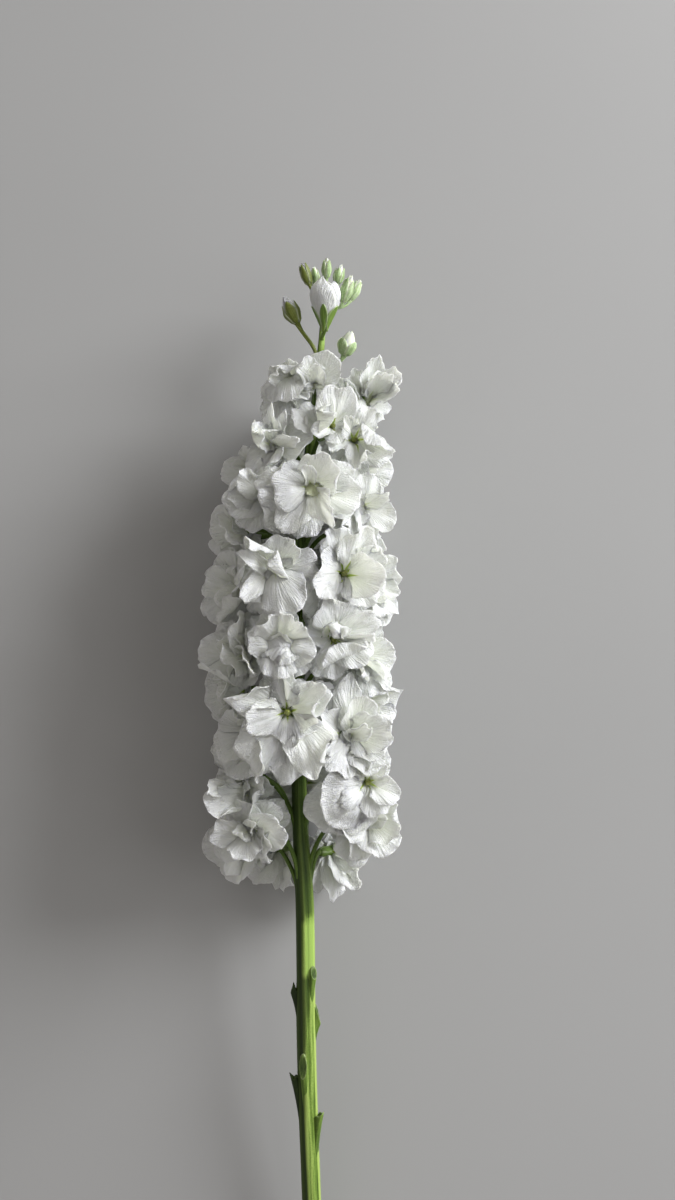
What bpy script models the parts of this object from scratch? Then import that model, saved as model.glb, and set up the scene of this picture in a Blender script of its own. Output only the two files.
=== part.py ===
"""A cut stem of double white stock (a garden flower spike), lying on a table.

+Y runs along the stem from the cut end to the bud tip, +Z is up and the part rests on z = 0.
The stem and the leaf stubs left where its leaves were stripped, one solid for each double floret
(its stalk, its green calyx and the rosette of petals) and one solid for each unopened bud.
"""

import math

import bmesh
import bpy
from mathutils import Matrix, Vector

# ---------------------------------------------------------------- driving dimensions, in millimetres
MM = 0.001
ORIGIN = (-0.68, 18.24)  # the plan centre of the whole stem, which becomes x = y = 0
GAP = 0.3  # clear space kept between neighbouring solids
CUT_END_Y = -222.0  # y of the cut end; y = 0 is the foot of the flower spike
TIP_Y = 247.0  # y of the growing tip among the buds
FLORET_R = 19.0  # radius of a full-size rosette
FLORET_H = 14.5  # height of a full-size rosette above its calyx
CALYX_R = 2.5
STALK_R = 1.15
PETAL_FLOOR = 0.0  # the table, against which the lowest petals are pressed flat

# Centre line of the stem (x, y, z) and its radius r: a gentle bow to one side, and an arch that
# drops from the flower spike, held up by its petals, to the cut end on the table.
STEM = (
    (6.2, -222.0, 3.96, 3.95),
    (4.2, -170.0, 9.6, 3.85),
    (2.4, -118.0, 15.3, 3.75),
    (0.8, -64.0, 21.4, 3.75),
    (0.2, 0.0, 27.6, 3.70),
    (-1.4, 30.0, 29.7, 3.20),
    (-2.2, 60.0, 31.2, 2.90),
    (-2.4, 110.0, 32.2, 2.70),
    (-1.2, 144.0, 32.3, 2.55),
    (2.6, 182.0, 31.6, 2.40),
    (5.8, 210.0, 30.4, 1.80),
    (7.4, 232.0, 29.2, 1.15),
    (8.2, 247.0, 28.4, 0.80),
)

# Florets, lowest first: height y of the calyx mouth, bearing round the stem in degrees (0 is up,
# away from the table, and 90 is +X), distance of the calyx mouth from the stem's centre line,
# size as a share of FLORET_R, tilt towards the tip, and how far the face turns from the bearing.
FLORETS = (
    (34, -53, 24.0, 0.97, -4, 0),
    (35, 74, 26.5, 1.02, -2, -8),
    (16, 148, 20.5, 0.92, -10, 0),
    (19, -152, 20.5, 0.95, -10, 0),
    (25, -104, 23.0, 0.92, -6, 0),
    (53, -74, 24.0, 0.96, 4, 14),
    (52, 50, 27.0, 1.10, 4, -10),
    (45, 178, 19.0, 0.95, 0, 0),
    (50, 115, 23.0, 0.95, 2, 0),
    (47, -130, 22.0, 0.95, 2, 0),
    (80, -7, 26.0, 1.12, 0, 0),
    (70, 46, 25.0, 1.02, 4, 0),
    (71, -50, 21.5, 0.98, 4, 0),
    (79, 92, 24.5, 1.00, 8, 0),
    (86, -98, 21.5, 0.98, 6, 0),
    (73, 176, 19.0, 1.00, 4, 0),
    (107, 28, 24.5, 1.02, 6, 0),
    (106, -14, 25.0, 1.00, 8, 0),
    (101, -62, 23.5, 1.00, 4, 0),
    (100, 80, 24.0, 0.98, 8, 0),
    (103, 138, 21.0, 0.98, 6, 0),
    (107, -146, 19.5, 0.98, 6, 0),
    (131, 38, 24.0, 1.04, 6, 0),
    (131, -17, 25.0, 1.06, 4, 0),
    (126, -76, 22.0, 0.98, 6, 0),
    (130, 88, 24.5, 1.02, 8, 0),
    (128, 160, 19.5, 1.00, 6, 0),
    (131, -132, 20.5, 1.00, 6, 0),
    (162, 5, 23.0, 1.08, 8, 0),
    (161, -46, 21.5, 0.96, 8, 0),
    (158, 60, 23.0, 0.98, 10, 0),
    (148, -96, 22.0, 0.96, 8, 0),
    (151, 120, 21.5, 0.96, 8, 0),
    (158, 180, 19.0, 0.96, 8, 0),
    (187, 16, 19.5, 0.86, 16, 0),
    (182, -42, 18.5, 0.86, 16, 0),
    (180, 50, 20.5, 0.90, 16, 0),
    (171, -88, 21.0, 0.88, 12, 0),
    (177, 102, 20.5, 0.86, 14, 0),
    (181, -150, 18.0, 0.86, 14, 0),
    (203, -55, 14.0, 0.76, 26, 0),
    (208, -4, 13.5, 0.70, 34, 0),
    (204, 68, 20.0, 0.74, 40, 0),
    (204, 168, 14.0, 0.72, 24, 0),
)

# Buds: where the stalk leaves the stem (y), the middle of the bud (x, y, z off the stem's centre
# line at the tip) and its length and width.
BUDS = {
    "bud_opening": (226.0, (8.6, 239.5, 37.0), (0.3, 10.0, 1.2), 20.0, 12.0),
    "bud_left": (216.0, (-5.2, 237.6, 32.5), (-5.0, 10.0, 1.0), 12.5, 7.2),
    "bud_right": (214.0, (17.4, 224.2, 33.0), (3.2, 10.0, 2.0), 10.5, 8.6),
    "bud_tip_far_left": (238.0, (0.6, 252.6, 30.6), (-3.6, 10.0, 1.0), 9.5, 4.6),
    "bud_tip_left": (240.0, (4.0, 252.8, 25.4), (-1.0, 10.0, -2.0), 9.0, 4.2),
    "bud_tip_middle": (241.0, (9.0, 254.6, 31.4), (0.2, 10.0, 1.0), 8.6, 4.2),
    "bud_tip_upper_right": (239.0, (14.0, 252.8, 28.8), (2.0, 10.0, 0.4), 8.4, 4.4),
    "bud_tip_right": (236.0, (17.2, 245.6, 34.6), (3.4, 10.0, 2.4), 12.0, 5.4),
    "bud_tip_far_right": (235.0, (20.6, 247.0, 26.2), (5.0, 10.0, -1.8), 10.5, 4.4),
}

# Leaf stubs down the bare stem: y of the torn top, bearing, length, width, how far it stands out.
STUBS = (
    (-26.0, 48, 17.0, 3.2, 1.5),
    (-31.5, -86, 20.0, 3.0, 2.0),
    (-41.0, 86, 20.0, 3.0, 2.0),
    (-60.5, -18, 24.0, 3.4, 1.3),
    (-67.5, -84, 30.0, 3.4, 2.6),
    (-83.5, 66, 26.0, 3.4, 2.9),
)


# ---------------------------------------------------------------- helpers
def spline(y, column):
    """A smooth value at height y of one column of STEM, through its points."""
    ys = [p[1] for p in STEM]
    vs = [p[column] for p in STEM]
    y = min(max(y, ys[0]), ys[-1])
    i = max(k for k in range(len(ys) - 1) if ys[k] <= y)

    def slope(k):
        a, b = max(k - 1, 0), min(k + 1, len(ys) - 1)
        return (vs[b] - vs[a]) / (ys[b] - ys[a])

    h = ys[i + 1] - ys[i]
    t = (y - ys[i]) / h
    return (
        (2 * t**3 - 3 * t**2 + 1) * vs[i]
        + (t**3 - 2 * t**2 + t) * h * slope(i)
        + (3 * t**2 - 2 * t**3) * vs[i + 1]
        + (t**3 - t**2) * h * slope(i + 1)
    )


def centre(y):
    return Vector((spline(y, 0), y, spline(y, 2)))


def stem_radius(y):
    return spline(y, 3)


def stem_axes(y):
    """(along, right, up) of the stem at height y."""
    along = (centre(min(y + 1.0, TIP_Y)) - centre(max(y - 1.0, CUT_END_Y))).normalized()
    up = (Vector((0, 0, 1)) - along * along.z).normalized()
    return along, along.cross(up), up


def bearing(y, degrees):
    _, right, up = stem_axes(y)
    a = math.radians(degrees)
    return right * math.sin(a) + up * math.cos(a)


def to_part(p):
    """Design millimetres to part metres."""
    return Vector((p[0] - ORIGIN[0], p[1] - ORIGIN[1], p[2])) * MM


def material(name, colour, roughness):
    mat = bpy.data.materials.new(name)
    mat.use_nodes = True
    shader = mat.node_tree.nodes["Principled BSDF"]
    shader.inputs["Base Color"].default_value = (*colour, 1.0)
    shader.inputs["Roughness"].default_value = roughness
    shader.inputs["Metallic"].default_value = 0.0
    return mat


def link(obj, collection, mat):
    collection.objects.link(obj)
    obj.parent = ROOT
    obj.data.materials.append(mat)
    return obj


def tube(name, points, radii, sides_resolution, collection, mat):
    """A closed tube through points (design mm) with a radius at each, as a welded mesh."""
    curve = bpy.data.curves.new(name, "CURVE")
    curve.dimensions = "3D"
    curve.bevel_depth = MM
    curve.bevel_resolution = sides_resolution
    curve.use_fill_caps = True
    line = curve.splines.new("POLY")
    line.points.add(len(points) - 1)
    for point, p, r in zip(line.points, points, radii):
        point.co = (*to_part(p), 1.0)
        point.radius = r
    wire = bpy.data.objects.new(name + "_wire", curve)
    bpy.context.scene.collection.objects.link(wire)
    bpy.context.view_layer.update()
    graph = bpy.context.evaluated_depsgraph_get()
    mesh = bpy.data.meshes.new_from_object(wire.evaluated_get(graph))
    world = wire.matrix_world.copy()
    bpy.data.objects.remove(wire)
    bm = bmesh.new()
    bm.from_mesh(mesh)
    bmesh.ops.remove_doubles(bm, verts=bm.verts, dist=1e-6)
    bmesh.ops.recalc_face_normals(bm, faces=bm.faces)
    bm.to_mesh(mesh)
    bm.free()
    mesh.name = name
    obj = bpy.data.objects.new(name, mesh)
    obj.matrix_world = world
    mesh.materials.clear()
    mesh.shade_smooth()
    return link(obj, collection, mat)


def bezier(a, b, c, d, t):
    s = 1.0 - t
    return a * s**3 + b * 3 * s * s * t + c * 3 * s * t * t + d * t**3


# ---------------------------------------------------------------- scene
for old in list(bpy.data.objects):
    bpy.data.objects.remove(old, do_unlink=True)

PARTS = bpy.data.collections.new("stock_flower_stem")
TOOLS = bpy.data.collections.new("joining_shapes")
bpy.context.scene.collection.children.link(PARTS)
bpy.context.scene.collection.children.link(TOOLS)
ROOT = bpy.data.objects.new("flower_stem_root", None)
PARTS.objects.link(ROOT)

GREEN = material("stem_green", (0.22, 0.36, 0.09), 0.55)
STUB = material("stub_green", (0.26, 0.42, 0.12), 0.6)
WHITE = material("petal_white", (0.86, 0.87, 0.84), 0.6)
BUD = material("bud_green", (0.42, 0.52, 0.22), 0.6)
BUD_WHITE = material("bud_white", (0.84, 0.86, 0.78), 0.55)


# ---------------------------------------------------------------- the stem
def build_stem():
    count = 40
    ys = [CUT_END_Y + (TIP_Y - CUT_END_Y) * k / (count - 1) for k in range(count)]
    return tube(
        "main_stem",
        [centre(y) for y in ys],
        [stem_radius(y) for y in ys],
        4,
        PARTS,
        GREEN,
    )


# ---------------------------------------------------------------- florets
class Floret:
    def __init__(self, row):
        self.y, self.phi, self.rho, self.size, self.tilt, self.turn = row
        along, _, _ = stem_axes(self.y)
        self.out = bearing(self.y, self.phi)
        face = bearing(self.y, self.phi + self.turn)
        lift = math.radians(self.tilt)
        self.axis = (face * math.cos(lift) + along * math.sin(lift)).normalized()
        self.mouth = centre(self.y) + self.out * self.rho
        self.heart = self.mouth + self.axis * (0.42 * FLORET_H * self.size)
        self.radius = FLORET_R * self.size
        self.along = along

    def matrix(self):
        side = self.along.cross(self.axis).normalized()
        top = self.axis.cross(side).normalized()
        turn = Matrix((side, top, self.axis)).transposed().to_4x4()
        return Matrix.Translation(to_part(self.mouth)) @ turn


def walls(floret, others):
    """The planes (normal, distance) that bound a floret: half way to each neighbour, the table, and
    a keep-clear plane round the stem, where the stalks of other florets run."""
    found = []
    for other in others:
        if other is floret:
            continue
        way = other.heart - floret.heart
        gap = way.length
        if gap > floret.radius + other.radius + 8:
            continue
        share = 0.5 + 0.5 * (floret.radius**2 - other.radius**2) / gap**2
        share = min(max(share, 0.3), 0.7)
        normal = way / gap
        found.append((normal, normal.dot(floret.heart) + gap * share - GAP / 2))
    found.append((Vector((0, 0, -1)), -PETAL_FLOOR))
    inner = centre(floret.y).dot(floret.out) + 12.5
    found.append((-floret.out, -inner))
    return found


# Turned outline of a rosette at full size, from the middle of its face round its rim to the calyx:
# distance from its axis, and height above the calyx mouth.
OUTLINE = ((0.0, 12.5), (8.5, 14.0), (15.5, 12.0), (19.0, 7.0), (14.5, 2.4), (6.5, -0.2), (0.0, -1.4))


def build_floret(number, floret, others):
    name = f"floret_{number:02d}"
    segments = 12
    bm = bmesh.new()
    bmesh.ops.create_uvsphere(
        bm, u_segments=segments, v_segments=len(OUTLINE) - 1, radius=1.0
    )
    place = floret.matrix()
    back = place.inverted()
    bounds = walls(floret, others)
    heart = floret.heart
    lobes = 5 + number % 2
    for v in bm.verts:
        polar = math.acos(max(-1.0, min(1.0, v.co.z)))
        ring = round(polar / math.pi * (len(OUTLINE) - 1))
        r, h = OUTLINE[ring]
        around = math.atan2(v.co.y, v.co.x) if r > 0 else 0.0
        wave = math.cos(lobes * around + 2.4 * number)
        r *= floret.size * (1.0 + (0.09 * wave if ring in (2, 3) else 0.0))
        h *= floret.size * (1.0 + (0.10 * wave if ring in (1, 2) else 0.0))
        point = floret.mouth + (
            place.to_3x3() @ Vector((r * math.cos(around), r * math.sin(around), h))
        )
        reach = point - heart
        keep = 1.0
        for normal, distance in bounds:
            across = normal.dot(reach)
            room = distance - normal.dot(heart)
            if across > 0 and across * keep > room:
                keep = max(room / across, 0.05)
        v.co = back @ to_part(heart + reach * keep)
    mesh = bpy.data.meshes.new(name)
    bm.to_mesh(mesh)
    bm.free()
    mesh.shade_smooth()
    rosette = bpy.data.objects.new(name, mesh)
    link(rosette, PARTS, WHITE)
    rosette.matrix_world = place

    # The stalk leaves the stem well below the flower, runs up beside it, then bends out to the calyx.
    drop = 24.0 * min(floret.size, 1.0) if floret.y < 60 else 19.0 * floret.size
    foot_y = floret.y - drop
    foot = centre(foot_y) + bearing(foot_y, floret.phi) * (stem_radius(foot_y) + GAP + 0.9)
    calyx_foot = floret.mouth - floret.axis * (9.0 * floret.size)
    along, _, _ = stem_axes(foot_y)
    path, radii = [], []
    for k in range(5):
        t = k / 5
        path.append(
            bezier(
                foot,
                foot + along * drop * 0.45,
                calyx_foot - floret.axis * 5.0 * floret.size,
                calyx_foot,
                t,
            )
        )
        radii.append(STALK_R * (0.75 + 0.25 * floret.size) * (0.8 if k == 0 else 1.0))
    for share, r in ((0.0, 0.62), (0.18, 1.0), (1.0, 0.95), (1.28, 0.7)):
        path.append(calyx_foot + (floret.mouth - calyx_foot) * share)
        radii.append(CALYX_R * floret.size * r)
    stalk = tube(name + "_stalk", path, radii, 1, TOOLS, GREEN)
    stalk.hide_render = True
    stalk.display_type = "WIRE"
    join = rosette.modifiers.new("join_stalk", "BOOLEAN")
    join.operation = "UNION"
    join.object = stalk
    return rosette


# ---------------------------------------------------------------- buds
def build_bud(name, row):
    foot_y, middle, aim, length, width = row
    middle, aim = Vector(middle), Vector(aim).normalized()
    base = middle - aim * (length * 0.5)
    side = (base - centre(foot_y)).normalized()
    along, _, _ = stem_axes(foot_y)
    out = (side - along * side.dot(along)).normalized()
    stalk_r = 0.62 if width < 6 else 0.85
    foot = centre(foot_y) + out * (stem_radius(foot_y) + GAP + stalk_r)
    path, radii = [], []
    reach = (base - foot).length
    for k in range(5):
        t = k / 5
        path.append(
            bezier(foot, foot + along * reach * 0.4, base - aim * reach * 0.35, base, t)
        )
        radii.append(stalk_r)
    for share, r in ((0.0, 0.30), (0.14, 0.72), (0.42, 1.0), (0.72, 0.86), (0.92, 0.5), (1.0, 0.22)):
        path.append(base + aim * length * share)
        radii.append(width * 0.5 * r)
    return tube(name, path, radii, 2, PARTS, BUD_WHITE if width > 9.0 else BUD)


# ---------------------------------------------------------------- leaf stubs
def build_stub(number, row):
    """A torn leaf base: a flat-backed sliver that clings to the stem and stands out at its top."""
    top_y, phi, length, width, stand = row
    bm = bmesh.new()
    bmesh.ops.create_cone(
        bm, cap_ends=True, segments=8, radius1=0.5, radius2=1.0, depth=1.0
    )
    bmesh.ops.subdivide_edges(
        bm,
        edges=[e for e in bm.edges if abs(e.verts[0].co.z - e.verts[1].co.z) > 0.5],
        cuts=2,
    )
    for v in bm.verts:
        share = v.co.z + 0.5  # 0 at the foot, 1 at the torn top
        y = top_y - length * (1.0 - share)
        _, right, up = stem_axes(y)
        a = math.radians(phi)
        out = right * math.sin(a) + up * math.cos(a)
        side = right * math.cos(a) - up * math.sin(a)
        local = v.co.xy / (0.5 + 0.5 * share)
        deep = 0.35 + 0.65 * share
        clear = stem_radius(y) + GAP + 0.1
        rise = clear + stand * 0.5 * deep * (1.0 + local.y) + stand * 0.25 * share**2
        point = centre(y) + out * rise + side * (local.x * width * 0.5 * deep)
        point += stem_axes(y)[0] * (0.9 * share * (1.0 if local.y < 0 else -0.6))
        v.co = to_part(point)
    if bm.calc_volume(signed=True) < 0:
        bmesh.ops.reverse_faces(bm, faces=bm.faces)
    name = f"leaf_stub_{number}"
    mesh = bpy.data.meshes.new(name)
    bm.to_mesh(mesh)
    bm.free()
    mesh.shade_smooth()
    return link(bpy.data.objects.new(name, mesh), PARTS, STUB)


build_stem()
ALL = [Floret(row) for row in FLORETS]
for n, f in enumerate(ALL, 1):
    build_floret(n, f, ALL)
for bud_name, bud_row in BUDS.items():
    build_bud(bud_name, bud_row)
for n, stub_row in enumerate(STUBS, 1):
    build_stub(n, stub_row)
bpy.context.view_layer.update()
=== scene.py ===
"""The looks of a cut stem of double white stock, lying on a pale table and seen from above.

Every floret is built petal by petal: a flat outline is ruffled, folded, cupped and bent into place, then
given a thickness. Lengths are in millimetres until the last step, in the layout's own frame.
"""

import math
import time

import bpy
import numpy as np
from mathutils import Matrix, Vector


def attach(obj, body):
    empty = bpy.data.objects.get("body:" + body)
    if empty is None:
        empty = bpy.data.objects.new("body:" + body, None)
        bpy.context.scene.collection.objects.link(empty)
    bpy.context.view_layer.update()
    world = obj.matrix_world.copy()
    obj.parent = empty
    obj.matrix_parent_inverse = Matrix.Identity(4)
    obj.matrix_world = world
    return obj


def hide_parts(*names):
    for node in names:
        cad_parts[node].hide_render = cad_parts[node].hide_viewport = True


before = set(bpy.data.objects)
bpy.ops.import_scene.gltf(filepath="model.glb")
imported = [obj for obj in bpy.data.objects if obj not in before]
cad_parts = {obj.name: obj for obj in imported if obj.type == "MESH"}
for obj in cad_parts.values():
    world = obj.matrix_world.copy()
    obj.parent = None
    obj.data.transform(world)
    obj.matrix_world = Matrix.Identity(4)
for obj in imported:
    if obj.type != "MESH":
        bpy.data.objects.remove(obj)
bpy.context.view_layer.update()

# ---------------------------------------------------------------- the layout, as the solids have it
ORIGIN = np.array((-0.68, 18.24, 0.0))
CUT_END_Y, TIP_Y = -222.0, 247.0
STEM = (
    (6.2, -222.0, 3.96, 3.95),
    (4.2, -170.0, 9.6, 3.85),
    (2.4, -118.0, 15.3, 3.75),
    (0.8, -64.0, 21.4, 3.75),
    (0.2, 0.0, 27.6, 3.70),
    (-1.4, 30.0, 29.7, 3.20),
    (-2.2, 60.0, 31.2, 2.90),
    (-2.4, 110.0, 32.2, 2.70),
    (-1.2, 144.0, 32.3, 2.55),
    (2.6, 182.0, 31.6, 2.40),
    (5.8, 210.0, 30.4, 1.80),
    (7.4, 232.0, 29.2, 1.15),
    (8.2, 247.0, 28.4, 0.80),
)
# y of the calyx mouth, bearing, distance from the stem, size, tilt to the tip, turn of the face
FLORETS = (
    (34, -53, 24.0, 0.97, -4, 0),
    (35, 74, 26.5, 1.02, -2, -8),
    (16, 148, 20.5, 0.92, -10, 0),
    (19, -152, 20.5, 0.95, -10, 0),
    (25, -104, 23.0, 0.92, -6, 0),
    (53, -74, 24.0, 0.96, 4, 14),
    (52, 50, 27.0, 1.10, 4, -10),
    (45, 178, 19.0, 0.95, 0, 0),
    (50, 115, 23.0, 0.95, 2, 0),
    (47, -130, 22.0, 0.95, 2, 0),
    (80, -7, 26.0, 1.12, 0, 0),
    (70, 46, 25.0, 1.02, 4, 0),
    (71, -50, 21.5, 0.98, 4, 0),
    (79, 92, 24.5, 1.00, 8, 0),
    (86, -98, 21.5, 0.98, 6, 0),
    (73, 176, 19.0, 1.00, 4, 0),
    (107, 28, 24.5, 1.02, 6, 0),
    (106, -14, 25.0, 1.00, 8, 0),
    (101, -62, 23.5, 1.00, 4, 0),
    (100, 80, 24.0, 0.98, 8, 0),
    (103, 138, 21.0, 0.98, 6, 0),
    (107, -146, 19.5, 0.98, 6, 0),
    (131, 38, 24.0, 1.04, 6, 0),
    (131, -17, 25.0, 1.06, 4, 0),
    (126, -76, 22.0, 0.98, 6, 0),
    (130, 88, 24.5, 1.02, 8, 0),
    (128, 160, 19.5, 1.00, 6, 0),
    (131, -132, 20.5, 1.00, 6, 0),
    (162, 5, 23.0, 1.08, 8, 0),
    (161, -46, 21.5, 0.96, 8, 0),
    (158, 60, 23.0, 0.98, 10, 0),
    (148, -96, 22.0, 0.96, 8, 0),
    (151, 120, 21.5, 0.96, 8, 0),
    (158, 180, 19.0, 0.96, 8, 0),
    (187, 16, 19.5, 0.86, 16, 0),
    (182, -42, 18.5, 0.86, 16, 0),
    (180, 50, 20.5, 0.90, 16, 0),
    (171, -88, 21.0, 0.88, 12, 0),
    (177, 102, 20.5, 0.86, 14, 0),
    (181, -150, 18.0, 0.86, 14, 0),
    (203, -55, 14.0, 0.76, 26, 0),
    (208, -4, 13.5, 0.70, 34, 0),
    (204, 68, 20.0, 0.74, 40, 0),
    (204, 168, 14.0, 0.72, 24, 0),
)
BUDS = {
    "bud_opening": (226.0, (8.6, 239.5, 37.0), (0.3, 10.0, 1.2), 20.0, 12.0),
    "bud_left": (216.0, (-5.2, 237.6, 32.5), (-5.0, 10.0, 1.0), 12.5, 7.2),
    "bud_right": (214.0, (17.4, 224.2, 33.0), (3.2, 10.0, 2.0), 10.5, 8.6),
    "bud_tip_far_left": (238.0, (0.6, 252.6, 30.6), (-3.6, 10.0, 1.0), 9.5, 4.6),
    "bud_tip_left": (240.0, (4.0, 252.8, 25.4), (-1.0, 10.0, -2.0), 9.0, 4.2),
    "bud_tip_middle": (241.0, (9.0, 254.6, 31.4), (0.2, 10.0, 1.0), 8.6, 4.2),
    "bud_tip_upper_right": (239.0, (14.0, 252.8, 28.8), (2.0, 10.0, 0.4), 8.4, 4.4),
    "bud_tip_right": (236.0, (17.2, 245.6, 34.6), (3.4, 10.0, 2.4), 12.0, 5.4),
    "bud_tip_far_right": (235.0, (20.6, 247.0, 26.2), (5.0, 10.0, -1.8), 10.5, 4.4),
}
STUBS = (
    (-26.0, 48, 17.0, 3.2, 1.5),
    (-31.5, -86, 20.0, 3.0, 2.0),
    (-41.0, 86, 20.0, 3.0, 2.0),
    (-60.5, -18, 24.0, 3.4, 1.3),
    (-67.5, -84, 30.0, 3.4, 2.6),
    (-83.5, 66, 26.0, 3.4, 2.9),
)
FLORET_R, FLORET_H, CALYX_R, STALK_R, GAP = 19.0, 14.5, 2.5, 1.15, 0.3


def vec(*p):
    return np.array(p, float)


def unit(p):
    return p / np.linalg.norm(p)


def spline(y, column):
    ys = [p[1] for p in STEM]
    vs = [p[column] for p in STEM]
    y = min(max(y, ys[0]), ys[-1])
    i = max(k for k in range(len(ys) - 1) if ys[k] <= y)

    def slope(k):
        a, b = max(k - 1, 0), min(k + 1, len(ys) - 1)
        return (vs[b] - vs[a]) / (ys[b] - ys[a])

    h = ys[i + 1] - ys[i]
    t = (y - ys[i]) / h
    return (
        (2 * t**3 - 3 * t**2 + 1) * vs[i]
        + (t**3 - 2 * t**2 + t) * h * slope(i)
        + (3 * t**2 - 2 * t**3) * vs[i + 1]
        + (t**3 - t**2) * h * slope(i + 1)
    )


def centre(y):
    return vec(spline(y, 0), y, spline(y, 2))


def stem_radius(y):
    return spline(y, 3)


def stem_axes(y):
    along = unit(centre(min(y + 1.0, TIP_Y)) - centre(max(y - 1.0, CUT_END_Y)))
    up = unit(vec(0, 0, 1) - along * along[2])
    return along, np.cross(along, up), up


def bearing(y, degrees):
    _, right, up = stem_axes(y)
    a = math.radians(degrees)
    return right * math.sin(a) + up * math.cos(a)


def bezier(a, b, c, d, t):
    s = 1.0 - t
    return a * s**3 + b * 3 * s * s * t + c * 3 * s * t * t + d * t**3


class Floret:
    def __init__(self, row):
        self.y, self.phi, self.rho, self.size, self.tilt, self.turn = row
        along, _, _ = stem_axes(self.y)
        self.out = bearing(self.y, self.phi)
        face = bearing(self.y, self.phi + self.turn)
        lift = math.radians(self.tilt)
        self.axis = unit(face * math.cos(lift) + along * math.sin(lift))
        self.mouth = centre(self.y) + self.out * self.rho
        self.heart = self.mouth + self.axis * (0.42 * FLORET_H * self.size)
        self.radius = FLORET_R * self.size
        self.along = along


ALL = [Floret(row) for row in FLORETS]


def walls(floret):
    """Planes (normal, distance) half way to each neighbour."""
    found = []
    for other in ALL:
        if other is floret:
            continue
        way = other.heart - floret.heart
        gap = np.linalg.norm(way)
        if gap > floret.radius + other.radius + 8:
            continue
        share = 0.5 + 0.5 * (floret.radius**2 - other.radius**2) / gap**2
        share = min(max(share, 0.3), 0.7)
        normal = way / gap
        found.append((normal, normal @ floret.heart + gap * share))
    return found


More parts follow.
